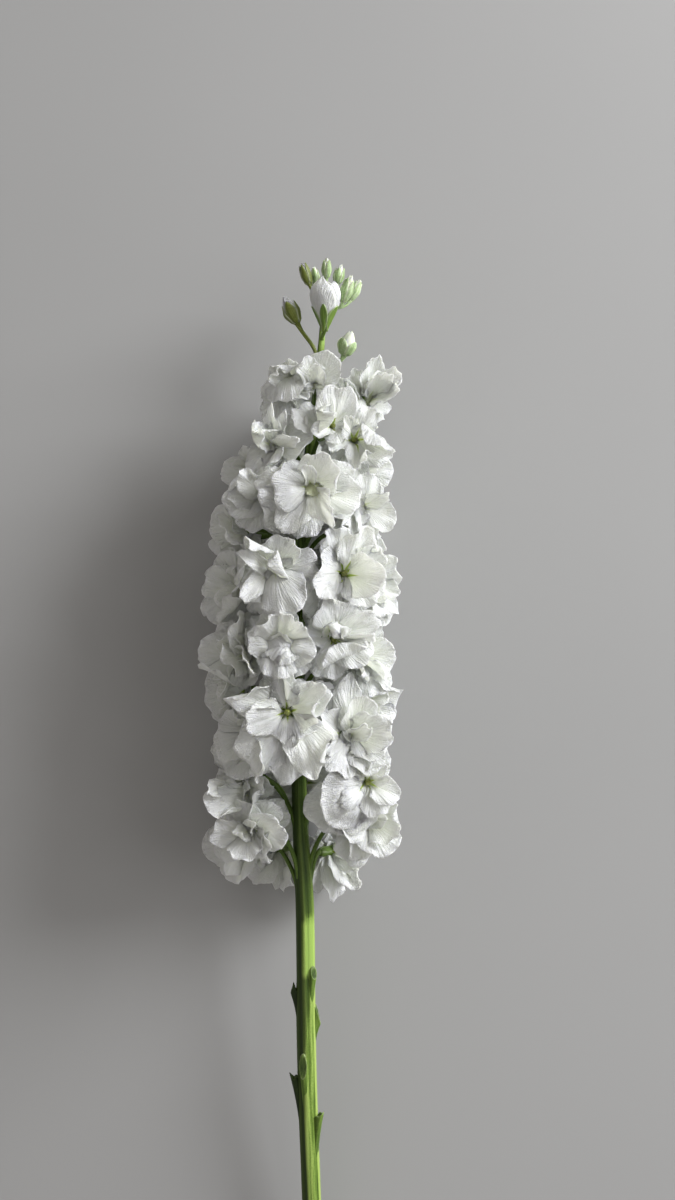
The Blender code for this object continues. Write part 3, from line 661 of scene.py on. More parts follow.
# Petals of the florets that face the camera: direction clockwise from the bud tip, how far it reaches
# and how wide it is in units of 0.4 mm, lean (90 lies flat, less stands up, more hangs back), and the rest
# of its shape. dx and dy move its foot sideways and towards the tip.
FRONT = {
    1: (  # low left
        (-84, 36, 34, 78, dict(folds=((40, 11.0, 150, 0.9),), cup=20, dx=-4, dy=-4)),
        (-20, 34, 40, 78, dict(cup=-18)),
        (75, 34, 44, 74, dict(folds=((140, 9.0, 120, 0.8),), cup=14, dx=0, dy=4)),
        (128, 30, 34, 70, dict(cup=34, curl=-30, ruffle=1.2)),
        (196, 30, 44, 66, dict(folds=((96, 12.0, 95, 0.7),), ruffle=1.4, pleats=0.2)),
        (232, 40, 36, 84, dict(curl=18, crumple=0.7)),
        (20, 16, 18, 40, dict(cup=60, crumple=0.6)),
        (250, 18, 20, 44, dict(cup=40, folds=((60, 7.0, 120, 0.7),))),
        (58, 44, 42, 98, dict(cup=-12, ruffle=0.5, hold=0.3)),
    ),
    6: (  # above it
        (-98, 52, 42, 50, dict(folds=((0, 4.4, 105, 0.8), (180, 4.8, 85, 0.8)), cup=12, crumple=0.6, ruffle=0.5, pleats=0.15, dx=18, dy=-16, hold=0.5)),
        (-70, 50, 28, 52, dict(spread=0.95, tipped=1, cup=20, folds=((40, 11.0, 70, 0.8),), crumple=0.6, dx=10, dy=-18, hold=0.45)),
        (-25, 44, 44, 80, dict(cup=-24, curl=14, dy=4)),
        (30, 38, 40, 82, dict(cup=12)),
        (110, 38, 34, 76, dict(roll=30, cup=20)),
        (165, 26, 36, 62, dict(cup=38, curl=-35)),
        (215, 34, 34, 80, dict(ruffle=1.3)),
        (-50, 18, 20, 40, dict(cup=50, folds=((110, 6.5, 130, 0.6),))),
    ),
    7: (  # low right, the big petal with turned margins
        (230, 52, 66, 66, dict(brim=(3.8, 0.76, 0.87), cup=10, curl=-6, pleats=0.3, crumple=0.25, ruffle=0.5, notch=0.0, dx=0, dy=2, hold=0.45)),
        (236, 26, 28, 40, dict(cup=-50, curl=60, ruffle=0.3, pleats=0.05, crumple=0.1, dx=-2, dy=-3, hold=0.4)),
        (-25, 34, 40, 76, dict(cup=22, curl=-12)),
        (28, 24, 26, 66, dict(cup=50, crumple=0.7)),
        (66, 22, 18, 70, dict(cup=50, curl=-50, crumple=0.6)),
        (118, 34, 30, 78, dict(ruffle=1.6, crumple=0.8, pleats=0.25)),
        (160, 34, 40, 84, dict(cup=-14)),
        (205, 42, 46, 92, dict(cup=-10, curl=8)),
        (233, 64, 62, 86, dict(cup=-16, curl=8, ruffle=0.5, crumple=0.2, pleats=0.06, dx=-5, dy=-2, hold=0.5)),
        (206, 56, 54, 90, dict(cup=-14, curl=10, ruffle=0.6, pleats=0.06, dx=-2, hold=0.4)),
    ),
    2: (  # far low right, one great rolled petal
        (95, 44, 50, 78, dict(cup=34, curl=-46, folds=((70, 15.0, 120, 1.2),), pleats=0.1)),
        (140, 44, 48, 80, dict(cup=24, curl=-30)),
        (40, 34, 36, 84, dict(ruffle=1.3)),
        (190, 40, 42, 82, dict(cup=12, pleats=0.25)),
        (70, 26, 24, 60, dict(cup=60, curl=-50)),
        (240, 36, 40, 84, dict(cup=-12)),
        (-30, 30, 34, 84, dict()),
    ),
    11: (  # the open one with the star
        (-4, 42, 30, 84, dict(cup=14, ragged=0.01, notch=-0.12, pleats=0.05, ruffle=0.4, tint=0.1, roll=0)),
        (30, 34, 30, 92, dict(cup=-10, pleats=0.05)),
        (70, 50, 50, 74, dict(notch=0.40, crumple=0.8, ruffle=1.3, pleats=0.25, folds=((128, 13.5, 70, 0.7),), growth=0.25)),
        (-68, 66, 46, 84, dict(cup=-16, ruffle=0.7, pleats=0.05, folds=((140, 13.5, 100, 0.9),), dy=1)),
        (-102, 44, 36, 74, dict(cup=14, ruffle=0.6, curl=-10)),
        (178, 30, 34, 78, dict(cup=12, ruffle=0.5, pleats=0.05)),
        (216, 66, 66, 84, dict(cup=-14, curl=10, ruffle=0.6, pleats=0.10)),
        (146, 70, 52, 78, dict(cup=-10, crumple=0.8, folds=((46, 20.0, 120, 0.9),), ragged=0.05, pleats=0.2, dx=2, dy=-2, growth=0.24)),
        (182, 70, 44, 90, dict(cup=-20, crumple=0.6, curl=8, dx=2, dy=-2)),
    ),
    17: (  # star eye with a horned cup above it
        (-14, 44, 20, 62, dict(cup=76, curl=-25, neck=1.0, folds=((110, 10.0, 120, 0.6),), dx=-2)),
        (30, 26, 22, 50, dict(cup=60, curl=-30, folds=((60, 10.0, 130, 0.6),))),
        (12, 42, 56, 84, dict(cup=20, curl=-14, ruffle=0.8, pleats=0.08)),
        (62, 52, 30, 84, dict(ruffle=1.4, crumple=0.7, pleats=0.2)),
        (88, 42, 24, 80, dict(roll=58, ruffle=1.2, pleats=0.2)),
        (152, 38, 56, 66, dict(folds=((90, 12.4, 150, 0.9),), cup=20, pleats=0.25, growth=0.2)),
        (118, 40, 42, 88, dict(cup=-14)),
        (216, 18, 18, 72, dict(cup=20)),
        (196, 40, 40, 92, dict(cup=-10)),
        (-62, 30, 34, 80, dict(cup=18, ruffle=1.2)),
    ),
    18: (  # the closed, crumpled knot
        (-34, 32, 36, 56, dict(cup=-40, curl=-34, crumple=0.9, ruffle=1.2, pleats=0.2, growth=0.25, hold=0.12)),
        (34, 36, 40, 58, dict(cup=-36, curl=-44, crumple=0.7, ruffle=1.0, growth=0.25, hold=0.12)),
        (-88, 32, 40, 66, dict(cup=-30, curl=20, crumple=0.8, hold=0.1)),
        (180, 34, 46, 62, dict(cup=-30, curl=26, crumple=0.9, ruffle=1.3, pleats=0.25, growth=0.25, hold=0.12)),
        (108, 36, 40, 66, dict(cup=-30, curl=20, crumple=0.8, hold=0.1)),
        (156, 38, 40, 64, dict(cup=-50, curl=30, crumple=0.9, ruffle=1.0, growth=0.2, dx=-10, dy=14, hold=0.3)),
        (214, 32, 36, 58, dict(cup=-50, curl=30, crumple=0.9, ruffle=1.0, growth=0.2, dx=12, dy=8, hold=0.3)),
        (0, 36, 46, 84, dict()),
        (140, 38, 46, 86, dict()),
        (10, 15, 24, 44, dict(cup=20, crumple=0.7, dy=-4, hold=0.3)),
    ),
    23: (  # green eye between a tall rolled petal and a cupped one
        (-78, 30, 64, 48, dict(skew=0.35, cup=-30, curl=-20, ruffle=1.2, pleats=0.2, folds=((10, 9.0, 70, 0.8),))),
        (92, 42, 50, 62, dict(cup=40, curl=-34, ruffle=0.4, crumple=0.15, pleats=0.05, dx=1, dy=-2, hold=0.4)),
        (-12, 48, 40, 82, dict(ruffle=1.7, crumple=0.8, pleats=0.3, growth=0.34)),
        (30, 52, 40, 82, dict(ruffle=1.7, crumple=0.9, pleats=0.25, growth=0.34)),
        (62, 46, 34, 84, dict(ruffle=1.4, growth=0.28)),
        (128, 44, 44, 84, dict(cup=12, ruffle=1.2)),
        (168, 44, 46, 88, dict(cup=-12)),
        (206, 42, 36, 84, dict(cup=14)),
    ),
    24: (  # the great drooping petals
        (-32, 44, 30, 62, dict(cup=40, curl=-20, folds=((150, 7.0, 130, 0.8),), pleats=0.06, dx=-6, dy=8)),
        (-58, 42, 18, 60, dict(cup=50, curl=30, crumple=0.8, dx=-4, dy=4)),
        (14, 34, 44, 84, dict(cup=24, curl=-16, ruffle=0.7, pleats=0.08, dx=0, dy=8)),
        (84, 44, 54, 74, dict(cup=-26, curl=34, ruffle=0.5, crumple=0.2, pleats=0.08, dx=-2, dy=2)),
        (34, 30, 26, 48, dict(cup=20, curl=90, folds=((118, 9.0, 150, 0.7),), dx=-5, dy=-2)),
        (164, 50, 56, 62, dict(cup=-30, curl=38, ruffle=0.5, crumple=0.2, pleats=0.10, dx=-4, dy=8)),
        (226, 42, 24, 66, dict(cup=-10, curl=16, roll=-30, dx=-6, dy=4)),
        (138, 38, 30, 80, dict(cup=-10, curl=24)),
        (240, 40, 36, 86, dict()),
    ),
    29: (  # striated petals, with the pointed one hanging
        (38, 38, 48, 66, dict(cup=22, curl=-20, pleats=0.35, folds=((152, 11.5, 110, 0.9),), ruffle=0.7, tint=0.3)),
        (104, 54, 44, 80, dict(cup=-16, curl=14, ruffle=0.6, pleats=0.08)),
        (148, 40, 34, 60, dict(spread=0.95, neck=0.9, cup=-6, crumple=0.6, pleats=0.25, folds=((8, 0.6, 44, 1.0),), tipped=1, hold=0.2)),
        (266, 38, 54, 62, dict(cup=-26, curl=30, pleats=0.35, ruffle=0.7, tint=0.5)),
        (266, 58, 46, 82, dict(cup=-20, crumple=0.9, pleats=0.3, growth=0.28)),
        (214, 56, 34, 82, dict(cup=12, pleats=0.25, ruffle=0.8)),
        (188, 52, 40, 88, dict(cup=-14, ruffle=0.6)),
        (-10, 24, 16, 50, dict(cup=64, curl=-20, pleats=0.2, tint=0.9)),
        (-22, 28, 30, 92, dict(cup=16, curl=-10, tint=0.9)),
        (66, 46, 36, 90, dict(cup=10)),
        (172, 18, 22, 58, dict(cup=14, crumple=0.6, ruffle=0.7, dx=1, dy=8, hold=0.45, tint=1.6)),
    ),
    30: (
        (-50, 34, 30, 66, dict(cup=40, crumple=0.9, pleats=0.25, growth=0.3)),
        (20, 28, 26, 60, dict(cup=50, curl=40, crumple=0.8)),
        (205, 42, 40, 82, dict(cup=-16)),
        (250, 42, 40, 80, dict(cup=14, ruffle=1.3)),
        (150, 36, 36, 84, dict(cup=-12)),
        (-90, 38, 34, 78, dict(crumple=0.8, pleats=0.3)),
    ),
    31: (
        (66, 32, 18, 74, dict(cup=40, curl=-60, neck=1.0, pleats=0.1)),
        (172, 36, 30, 78, dict(cup=24, curl=-16, pleats=0.2)),
        (215, 32, 26, 62, dict(cup=30, crumple=1.1, pleats=0.3, growth=0.35)),
        (120, 38, 34, 80, dict(ruffle=1.3, pleats=0.25)),
        (10, 36, 34, 78, dict(ruffle=1.4, crumple=0.8, growth=0.3)),
        (-40, 30, 26, 66, dict(crumple=0.8)),
    ),
    35: (  # the heart-shaped one
        (10, 42, 42, 82, dict(cup=14, curl=-10, notch=0.12, ruffle=0.8, pleats=0.3)),
        (-60, 42, 36, 68, dict(cup=16, folds=((60, 9.5, 120, 0.6), (130, 10.5, 100, 0.7)), pleats=0.2)),
        (-112, 20, 22, 48, dict(cup=50, curl=40, pleats=0.1)),
        (168, 18, 20, 86, dict(cup=-10)),
    ),
    36: (
        (-68, 40, 34, 60, dict(cup=20, curl=-30, crumple=0.7, folds=((64, 10.5, 80, 0.5), (10, 1.5, 40, 0.6)), pleats=0.1, square=0.25, hold=0.25)),
        (-30, 30, 30, 56, dict(cup=26, curl=-24, crumple=0.7, folds=((110, 9.0, 70, 0.5),), pleats=0.1, square=0.25, hold=0.2)),
        (-2, 32, 24, 70, dict(cup=40, spread=0.95, neck=1.0, tipped=1, ruffle=0.5, hold=0.1)),
        (22, 28, 22, 66, dict(cup=40, spread=0.95, neck=1.0, tipped=1, ruffle=0.5, hold=0.1)),
        (64, 44, 52, 66, dict(cup=-14, curl=20, ruffle=0.6, pleats=0.08)),
        (84, 26, 20, 46, dict(roll=50, ruffle=1.1)),
        (150, 30, 34, 82, dict()),
        (215, 34, 36, 84, dict(ruffle=1.2)),
    ),
    37: (
        (-28, 24, 26, 54, dict(cup=44, curl=-20, crumple=0.8, pleats=0.2)),
        (26, 36, 30, 76, dict(crumple=1.0, ruffle=1.3, pleats=0.2, growth=0.3)),
        (-106, 28, 24, 58, dict(cup=30, crumple=1.0, pleats=0.2, square=0.3, growth=0.3)),
        (92, 46, 44, 74, dict(cup=14, folds=((40, 8.5, 150, 1.0),), pleats=0.3)),
        (122, 40, 36, 84, dict(cup=-12, pleats=0.25)),
        (166, 42, 34, 72, dict(cup=24, crumple=0.9, folds=((60, 11.0, 90, 0.6),))),
        (205, 34, 34, 86, dict()),
    ),
    38: (
        (-66, 26, 14, 74, dict(cup=60, curl=-50, crumple=0.6)),
        (-22, 26, 24, 66, dict(crumple=1.0, ruffle=1.3, growth=0.3)),
        (30, 24, 22, 50, dict(cup=90, curl=-10, pleats=0.1)),
        (160, 32, 34, 80, dict()),
        (220, 34, 34, 80, dict(crumple=0.8)),
        (265, 34, 32, 80, dict(ruffle=1.2)),
    ),
    41: (
        (-62, 34, 30, 60, dict(cup=20, spread=1.1, crumple=1.2, ruffle=1.0, pleats=0.2, folds=((125, 8.0, 80, 0.8),), notch=-0.12, dx=7, dy=6, hold=0.25)),
        (-34, 26, 34, 54, dict(cup=26, curl=40, folds=((110, 8.0, 100, 0.6),), dx=5, dy=9)),
        (206, 34, 50, 46, dict(cup=-30, curl=44, ruffle=0.5, crumple=0.3, folds=((25, 13.0, 120, 0.7),), dx=6, dy=18, hold=0.15)),
        (200, 50, 44, 84, dict(cup=-14, curl=14, dx=3, dy=4)),
        (-20, 22, 20, 70, dict(dx=7, dy=9)),
        (240, 34, 30, 92, dict(dx=4, dy=6)),
    ),
    42: (
        (34, 39, 38, 78, dict(cup=12, curl=-10, pleats=0.32, ruffle=0.8, dx=-3, dy=-10)),
        (-26, 28, 26, 58, dict(crumple=1.0, cup=30, growth=0.35, dy=-8)),
        (112, 28, 26, 92, dict(cup=-12, dy=-8)),
        (-60, 24, 22, 76, dict(crumple=0.7, dy=-8)),
        (5, 22, 22, 52, dict(cup=50, curl=-20, dy=-8)),
    ),
    12: (  # strongly lit, right of the star
        (78, 44, 46, 68, dict(crumple=1.0, ruffle=1.5, pleats=0.3, growth=0.32, cup=20)),
        (-4, 62, 36, 84, dict(cup=-20, ruffle=0.5, pleats=0.06)),
        (22, 46, 36, 74, dict(cup=24, crumple=0.7, pleats=0.2)),
        (200, 40, 46, 60, dict(cup=-20, ruffle=0.6, pleats=0.08, curl=20, hold=0.15)),
        (140, 46, 40, 82, dict(cup=14, pleats=0.2)),
        (112, 40, 38, 82, dict(ruffle=1.4, pleats=0.25)),
        (240, 38, 36, 86, dict(cup=-12)),
        (172, 60, 40, 88, dict(cup=-20, curl=12, ruffle=0.6)),
        (60, 22, 22, 40, dict(cup=50, crumple=0.9, curl=30, growth=0.3)),
        (-60, 44, 40, 90, dict(cup=-10)),
    ),
    43: (  # half open
        (-40, 30, 30, 64, dict(cup=50, curl=-30, ruffle=0.5, dx=2, dy=-8, hold=0.12)),
        (2, 42, 34, 66, dict(cup=46, curl=-30, ruffle=0.6, dx=5, dy=-8, hold=0.12)),
        (30, 30, 30, 46, dict(cup=50, curl=-26, ruffle=0.5, dx=6, dy=-9, hold=0.12)),
        (48, 40, 30, 68, dict(cup=50, curl=-30, ruffle=0.6, dx=7, dy=-8, hold=0.12)),
        (84, 30, 34, 58, dict(cup=44, curl=-26, ruffle=0.5, dx=6, dy=-10, hold=0.12)),
        (14, 22, 26, 46, dict(cup=34, curl=-10, dx=6, dy=-7, hold=0.1)),
        (156, 22, 24, 90, dict(crumple=0.8, ruffle=1.2, dx=6, dy=-14)),
        (116, 22, 22, 84, dict(crumple=0.8, dx=6, dy=-14)),
    ),
}


# florets with an open star of narrow claws, and how narrow
STARS = {11: 1.6, 17: 1.6, 7: 1.6, 23: 1.6, 35: 1.6, 37: 1.6}
# florets seen from the side, without an outer ring
BARE = (7, 42)
# how far the eye leans sideways and towards the tip, in units of 0.4 mm
LEAN = {
    7: (17, 0), 17: (8, 1), 23: (8, 5), 29: (2, 7), 35: (8, 5), 37: (5, 15), 36: (-5, -5), 31: (8, 6), 12: (6, 0),
    43: (0, 7),
}

# Petals of the florets at the sides that turn towards the camera
SIDE = {
    5: ((-100, 44, 46, 88, {}), (-160, 44, 48, 88, dict(ruffle=1.3)), (-40, 40, 40, 88, {})),
    10: ((-80, 46, 50, 92, {}), (-140, 46, 46, 92, {}), (-20, 42, 42, 92, {})),
    13: ((-112, 42, 46, 82, {}), (-158, 48, 52, 86, dict(cup=-20)), (-60, 38, 42, 78, dict(ruffle=1.4))),
    15: (
        (-92, 42, 62, 80, dict(pleats=0.35, cup=-14, ruffle=0.7)),
        (-38, 42, 42, 82, dict(pleats=0.25)),
        (-146, 42, 46, 82, dict(ruffle=1.3)),
        (-70, 26, 26, 50, dict(cup=50, crumple=0.8)),
    ),
    19: (
        (-128, 50, 44, 72, dict(cup=-34, curl=30, ruffle=0.5, pleats=0.05, folds=((70, 14.0, 100, 0.7),))),
        (-44, 32, 28, 56, dict(cup=64, curl=-30, ruffle=0.5)),
        (-84, 46, 44, 84, dict(cup=-14)),
        (168, 34, 38, 80, dict(cup=16)),
        (20, 36, 38, 84, {}),
    ),
    25: (
        (-78, 42, 42, 78, dict(crumple=0.9, ruffle=1.4, growth=0.3)),
        (-128, 50, 46, 84, dict(cup=-16)),
        (-30, 42, 42, 82, dict(pleats=0.3)),
        (-170, 42, 40, 86, {}),
    ),
    32: (
        (-72, 38, 48, 82, dict(pleats=0.25)),
        (-122, 42, 48, 84, dict(cup=-14)),
        (-14, 38, 38, 80, dict(ruffle=1.4)),
        (170, 42, 40, 86, {}),
    ),
    14: (
        (56, 46, 46, 76, dict(pleats=0.35, cup=16, folds=((62, 15.5, 110, 0.9),))),
        (108, 38, 40, 80, dict(ruffle=1.3)),
        (162, 46, 46, 82, dict(pleats=0.25)),
        (-20, 44, 40, 82, dict(cup=-16)),
        (205, 44, 40, 86, {}),
    ),
    20: (
        (26, 44, 32, 78, dict(spread=1.0, tipped=1, cup=14)),
        (88, 38, 42, 82, dict(ruffle=1.3, pleats=0.2)),
        (150, 46, 44, 82, dict(cup=-12)),
        (200, 46, 44, 84, dict(ruffle=1.2)),
        (-36, 42, 40, 84, {}),
    ),
    26: (
        (16, 50, 42, 80, dict(ruffle=1.7, growth=0.34, pleats=0.25)),
        (68, 44, 40, 78, dict(ruffle=1.6, growth=0.3, crumple=0.8)),
        (112, 42, 34, 74, dict(cup=30, ruffle=1.4)),
        (150, 52, 42, 82, dict(ruffle=1.4, pleats=0.25)),
        (196, 42, 40, 86, {}),
    ),
    9: ((60, 44, 46, 92, {}), (120, 46, 46, 92, {}), (175, 44, 44, 92, {})),
    39: ((30, 36, 36, 84, dict(ruffle=1.4)), (95, 34, 40, 82, dict(ruffle=1.3)), (155, 40, 36, 84, {})),
    4: (
        (-140, 46, 44, 88, dict(ruffle=1.4)),
        (170, 44, 44, 90, {}),
        (-90, 40, 40, 88, {}),
        (130, 36, 40, 90, {}),
        (14, 48, 42, 100, dict(cup=-10, ruffle=0.5, hold=0.35)),
    ),
    3: (
        (172, 50, 34, 84, dict(cup=-24, curl=14, pleats=0.2)),
        (140, 50, 36, 80, dict(cup=20, folds=((50, 13.0, 110, 0.8),), ruffle=1.2)),
        (205, 44, 38, 88, dict(ruffle=1.3)),
        (100, 38, 40, 90, {}),
        (236, 24, 36, 62, dict(dx=-4, dy=6)),
    ),
}


def eye_axis(number, floret):
    """The way the eye looks: florets in front are turned a little towards the camera."""
    if number in FRONT or number in SIDE:
        return unit(floret.axis * 0.45 + vec(0, 0, 0.55))
    return floret.axis


def front_petals(number, floret, rows):
    rs = np.random.RandomState(900 + number)
    axis = eye_axis(number, floret)
    unit_mm = 0.4 * (531.0 - floret.mouth[2]) / 500.0
    claw = (4.4 if number in STARS else 1.8) * floret.size
    moved = vec(*LEAN.get(number, (0, 0)), 0) * unit_mm
    for azimuth, reach, wide, lean, more in rows:
        more = dict(more)
        curl = more.pop("curl", 0)
        foot = floret.mouth + vec(more.pop("dx", 0), more.pop("dy", 0), 0) * unit_mm - axis * claw
        growth = more.pop("growth", 0.14)
        hold = more.pop("hold", 0.03)
        tipped = more.pop("tipped", 0)
        a, b = math.radians(azimuth), math.radians(lean)
        way = vec(math.sin(a) * math.sin(b), math.cos(a) * math.sin(b), math.cos(b))
        mid = math.degrees(math.acos(float(np.clip(way @ axis, -1, 1))))
        shape = BROAD if wide > 25 else MIDDLE
        values = dict(
            L=reach * unit_mm / max(math.sin(b), 0.45),
            W=wide * unit_mm,
            claw=claw,
            start=5,
            open=max(mid * 0.82, 12),
            mid=mid,
            tip=mid + curl,
            cup=15,
            roll=rs.uniform(-6, 6),
            twist=rs.uniform(-8, 8),
            ruffle=1.0,
            waves=rs.uniform(4.5, 7.5),
            crumple=0.4,
            notch=rs.uniform(0, 0.1),
            neck=STARS.get(number, 0.86),
            square=0.42,
        )
        if number not in STARS:
            values["tint"] = -0.55
        values.update(more)
        if tipped:
            values["notch"] = -0.30
        grid, thick, flat, kind = petal(rs, *shape, **values)
        grid = place(grid, foot, axis, way - axis * (way @ axis))
        grid = grid + moved * np.clip(flat[..., 1:2] / claw, 0, 1)
        grid = soft_wall(grid, vec(0, 0, -1), -0.5, 3.0, -0.02)
        CROWDS[shape].add(number, grid, thick, flat, kind, growth, hold, (0, -0.004, 0))


def rosette(number, floret):
    """The petals of one floret, from the broad outer ones to the small crumpled ones in its eye."""
    rs = np.random.RandomState(700 + number)
    z = floret.size
    foot = floret.mouth - floret.axis * 4.6 * z
    planes = walls(floret)
    stem_at = centre(floret.y) @ floret.out
    turn = rs.rand() * 360
    whorls = (
        # count, length, width, open, mid, tip, cup, ruffle, crumple, growth, shape
        (5, 19.0, 21.0, 80, 100, 112, 14, 1.0, 0.55, 0.16, BROAD),
        (4, 16.5, 19.5, 62, 80, 88, 24, 1.0, 0.60, 0.20, BROAD),
        (3, 12.0, 13.5, 44, 58, 66, 34, 1.0, 0.60, 0.25, MIDDLE),
        (2, 7.5, 7.5, 48, 58, 66, 30, 0.6, 0.50, 0.30, SMALL),
    )
    if number in FRONT:
        front_petals(number, floret, FRONT[number])
        whorls = () if number in BARE else ((4, 17.0, 20.0, 88, 108, 118, 6, 1.0, 0.55, 0.16, BROAD),)
    elif number in SIDE:
        front_petals(number, floret, SIDE[number])
        whorls = (
            (4, 20.0, 19.0, 58, 74, 84, 20, 1.1, 0.60, 0.20, BROAD),
            (3, 15.5, 15.0, 36, 46, 60, 30, 1.1, 0.60, 0.28, MIDDLE),
            (2, 8.0, 8.0, 40, 50, 62, 30, 0.6, 0.50, 0.30, SMALL),
        )
    for ring, (count, length, width, a1, a2, a3, cup, ruffle, crumple, growth, shape) in enumerate(whorls):
        turn += 360.0 / count / 2 + rs.uniform(-15, 15)
        for i in range(count):
            azimuth = turn + 360.0 * i / count + rs.uniform(-18, 18)
            tilt = rs.uniform(-14, 12)
            big = rs.uniform(0.84, 1.10)
            folds = []
            if rs.rand() < (0.35, 0.55, 0.5, 0.3)[ring]:
                side = rs.choice([-1, 1])
                folds.append(
                    (
                        90 - side * rs.uniform(20, 85),
                        (4.6 + length * 0.55) * z * rs.uniform(0.80, 1.0),
                        rs.choice([-1, 1, 1]) * rs.uniform(60, 165),
                        rs.uniform(0.7, 1.8),
                    )
                )
            grid, thick, flat, kind = petal(
                rs,
                *shape,
                L=length * big * z,
                W=width * big * z * rs.uniform(0.85, 1.12),
                claw=4.6 * z,
                start=rs.uniform(3, 14),
                open=a1 + tilt,
                mid=a2 + tilt + rs.uniform(-8, 8),
                tip=a3 + tilt + rs.uniform(-34, 34),
                cup=cup * rs.uniform(-0.9, 2.0),
                roll=rs.uniform(-20, 20),
                twist=rs.uniform(-35, 35),
                ruffle=ruffle * rs.uniform(0.5, 1.4),
                waves=rs.uniform(4.0, 8),
                crumple=crumple * rs.uniform(0.4, 1.4),
                notch=rs.uniform(0, 0.16),
                skew=rs.uniform(-0.14, 0.14),
                folds=folds,
            )
            grid = place(grid, foot, floret.axis, around(floret.axis, floret.along, azimuth))
            grid = ease_in(grid, planes, floret.out, stem_at)
            if covers_gap(grid):
                continue
            CROWDS[shape].add(number, grid, thick, flat, kind, growth * rs.uniform(0.5, 1.4), 0.012, (0, -0.006, 0))
    # the eye: stubby green petal beginnings
    knob = eye_axis(number, floret)
    moved = vec(*LEAN.get(number, (0, 0)), 0) * 0.38
    pale = (number in FRONT or number in SIDE) and number not in STARS
    for i in range(3 if pale else 0):
        grid, thick, flat, kind = petal(
            rs, *SMALL, L=rs.uniform(5.0, 6.8) * z, W=rs.uniform(6.4, 8.4) * z, claw=1.2 * z, start=20, open=rs.uniform(44, 62),
            mid=rs.uniform(74, 90), tip=rs.uniform(55, 115), cup=rs.uniform(-30, 40), ruffle=0.8, crumple=0.6, tint=-0.5,
            twist=rs.uniform(-25, 25), roll=rs.uniform(-12, 12), neck=0.7,
        )
        away = around(knob, floret.along, 120 * i + turn + rs.uniform(-20, 20))
        grid = place(grid, floret.mouth + moved + away * 2.0 * z - knob * (1.6 - 0.5 * i) * z, knob, -away)
        CROWDS[SMALL].add(number, grid, thick, flat, kind, 0.25, 0.5, (0, 0, 0))
    for i in range(0 if pale else 6):
        lean = (26, -8, -46) if i < 5 else (4, 0, -4)
        grid, thick, flat, kind = petal(
            rs, *NUB, L=(2.3 if i < 5 else 1.5) * z, W=1.9 * z, claw=3.4 * z, start=6, open=lean[0], mid=lean[1],
            tip=lean[2] - 14 * rs.rand(), cup=46, ruffle=0.1, crumple=0.1, pleats=0.0, tint=2.0, thick=0.4, lip=0,
        )
        grid = place(grid, floret.mouth + moved - knob * 3.3 * z, knob, around(knob, floret.along, 72 * i + turn))
        CROWDS[NUB].add(number, grid, thick, flat, kind, 0.0, 0.3, (0, 0, 0))


def calyx(number, floret, build):
    """The stalk from the stem, and the four sepals that hold the petals' feet."""
    rs = np.random.RandomState(300 + number)
    z = floret.size
    drop = 24.0 * min(z, 1.0) if floret.y < 60 else 19.0 * z
    foot_y = floret.y - drop
    foot = centre(foot_y) + bearing(foot_y, floret.phi) * (stem_radius(foot_y) - 1.1)
    base = floret.mouth - floret.axis * (9.0 * z)
    along, _, _ = stem_axes(foot_y)
    path, radii = [], []
    for k in range(13):
        t = k / 12
        path.append(bezier(foot, foot + along * drop * 0.45, base - floret.axis * 5.0 * z, base, t))
        radii.append(0.88 * (0.75 + 0.25 * z) * (1 + 0.25 * (1 - t) ** 4) * (1 + 0.45 * t**8))
    path.append(base + floret.axis * 0.7)
    radii.append(1.25 * z)
    build.tube(path, radii, 9, vec(0, 0, 0.2))
    for i in range(4):
        grid, thick, flat, kind = sepal(rs, 10, 9, 9.6 * z, 4.3 * z, 1.1 * z, 2.1 * z, rs.uniform(4, 26))
        outward = around(floret.axis, floret.along, 45 + 90 * i + rs.uniform(-6, 6))
        build.sheet(place(grid, base, floret.axis, outward), thick, flat, kind)


def sepal(rs, rows, cols, L, W, r0, r1, flare):
    """A narrow leaf that wraps a tube: radius r0 at its foot, r1 above, its tip flaring out."""
    s = np.linspace(0, 1, rows)[:, None]
    v = np.linspace(-1, 1, cols)[None, :]
    half = W / 2 * np.sin(np.pi * (0.12 + 0.80 * s) ** 0.85) ** 0.6
    x = v * half
    r = r0 + (r1 - r0) * np.clip(s / 0.3, 0, 1) ** 0.7 + math.tan(math.radians(flare)) * L * np.clip(s - 0.72, 0, 1) ** 1.4
    r = r + 0.12 * rs.randn() * np.sin(6 * s + rs.rand() * 6) * s
    wrap = np.maximum(r, 0.8)
    a = x / wrap
    out = r * np.cos(a) + 0.08 * np.sin(9 * v) * s
    side = r * np.sin(a)
    up = L * s + 0 * v
    flat = np.stack([x, up, np.full_like(x, rs.rand() * 50)], -1)
    kind = np.stack([s + 0 * v, np.abs(v) + 0 * s, np.full_like(x, 0.6)], -1)
    return np.stack([out, side, up], -1), 0.35 * (1 - 0.4 * s**2) + 0 * v, flat, kind


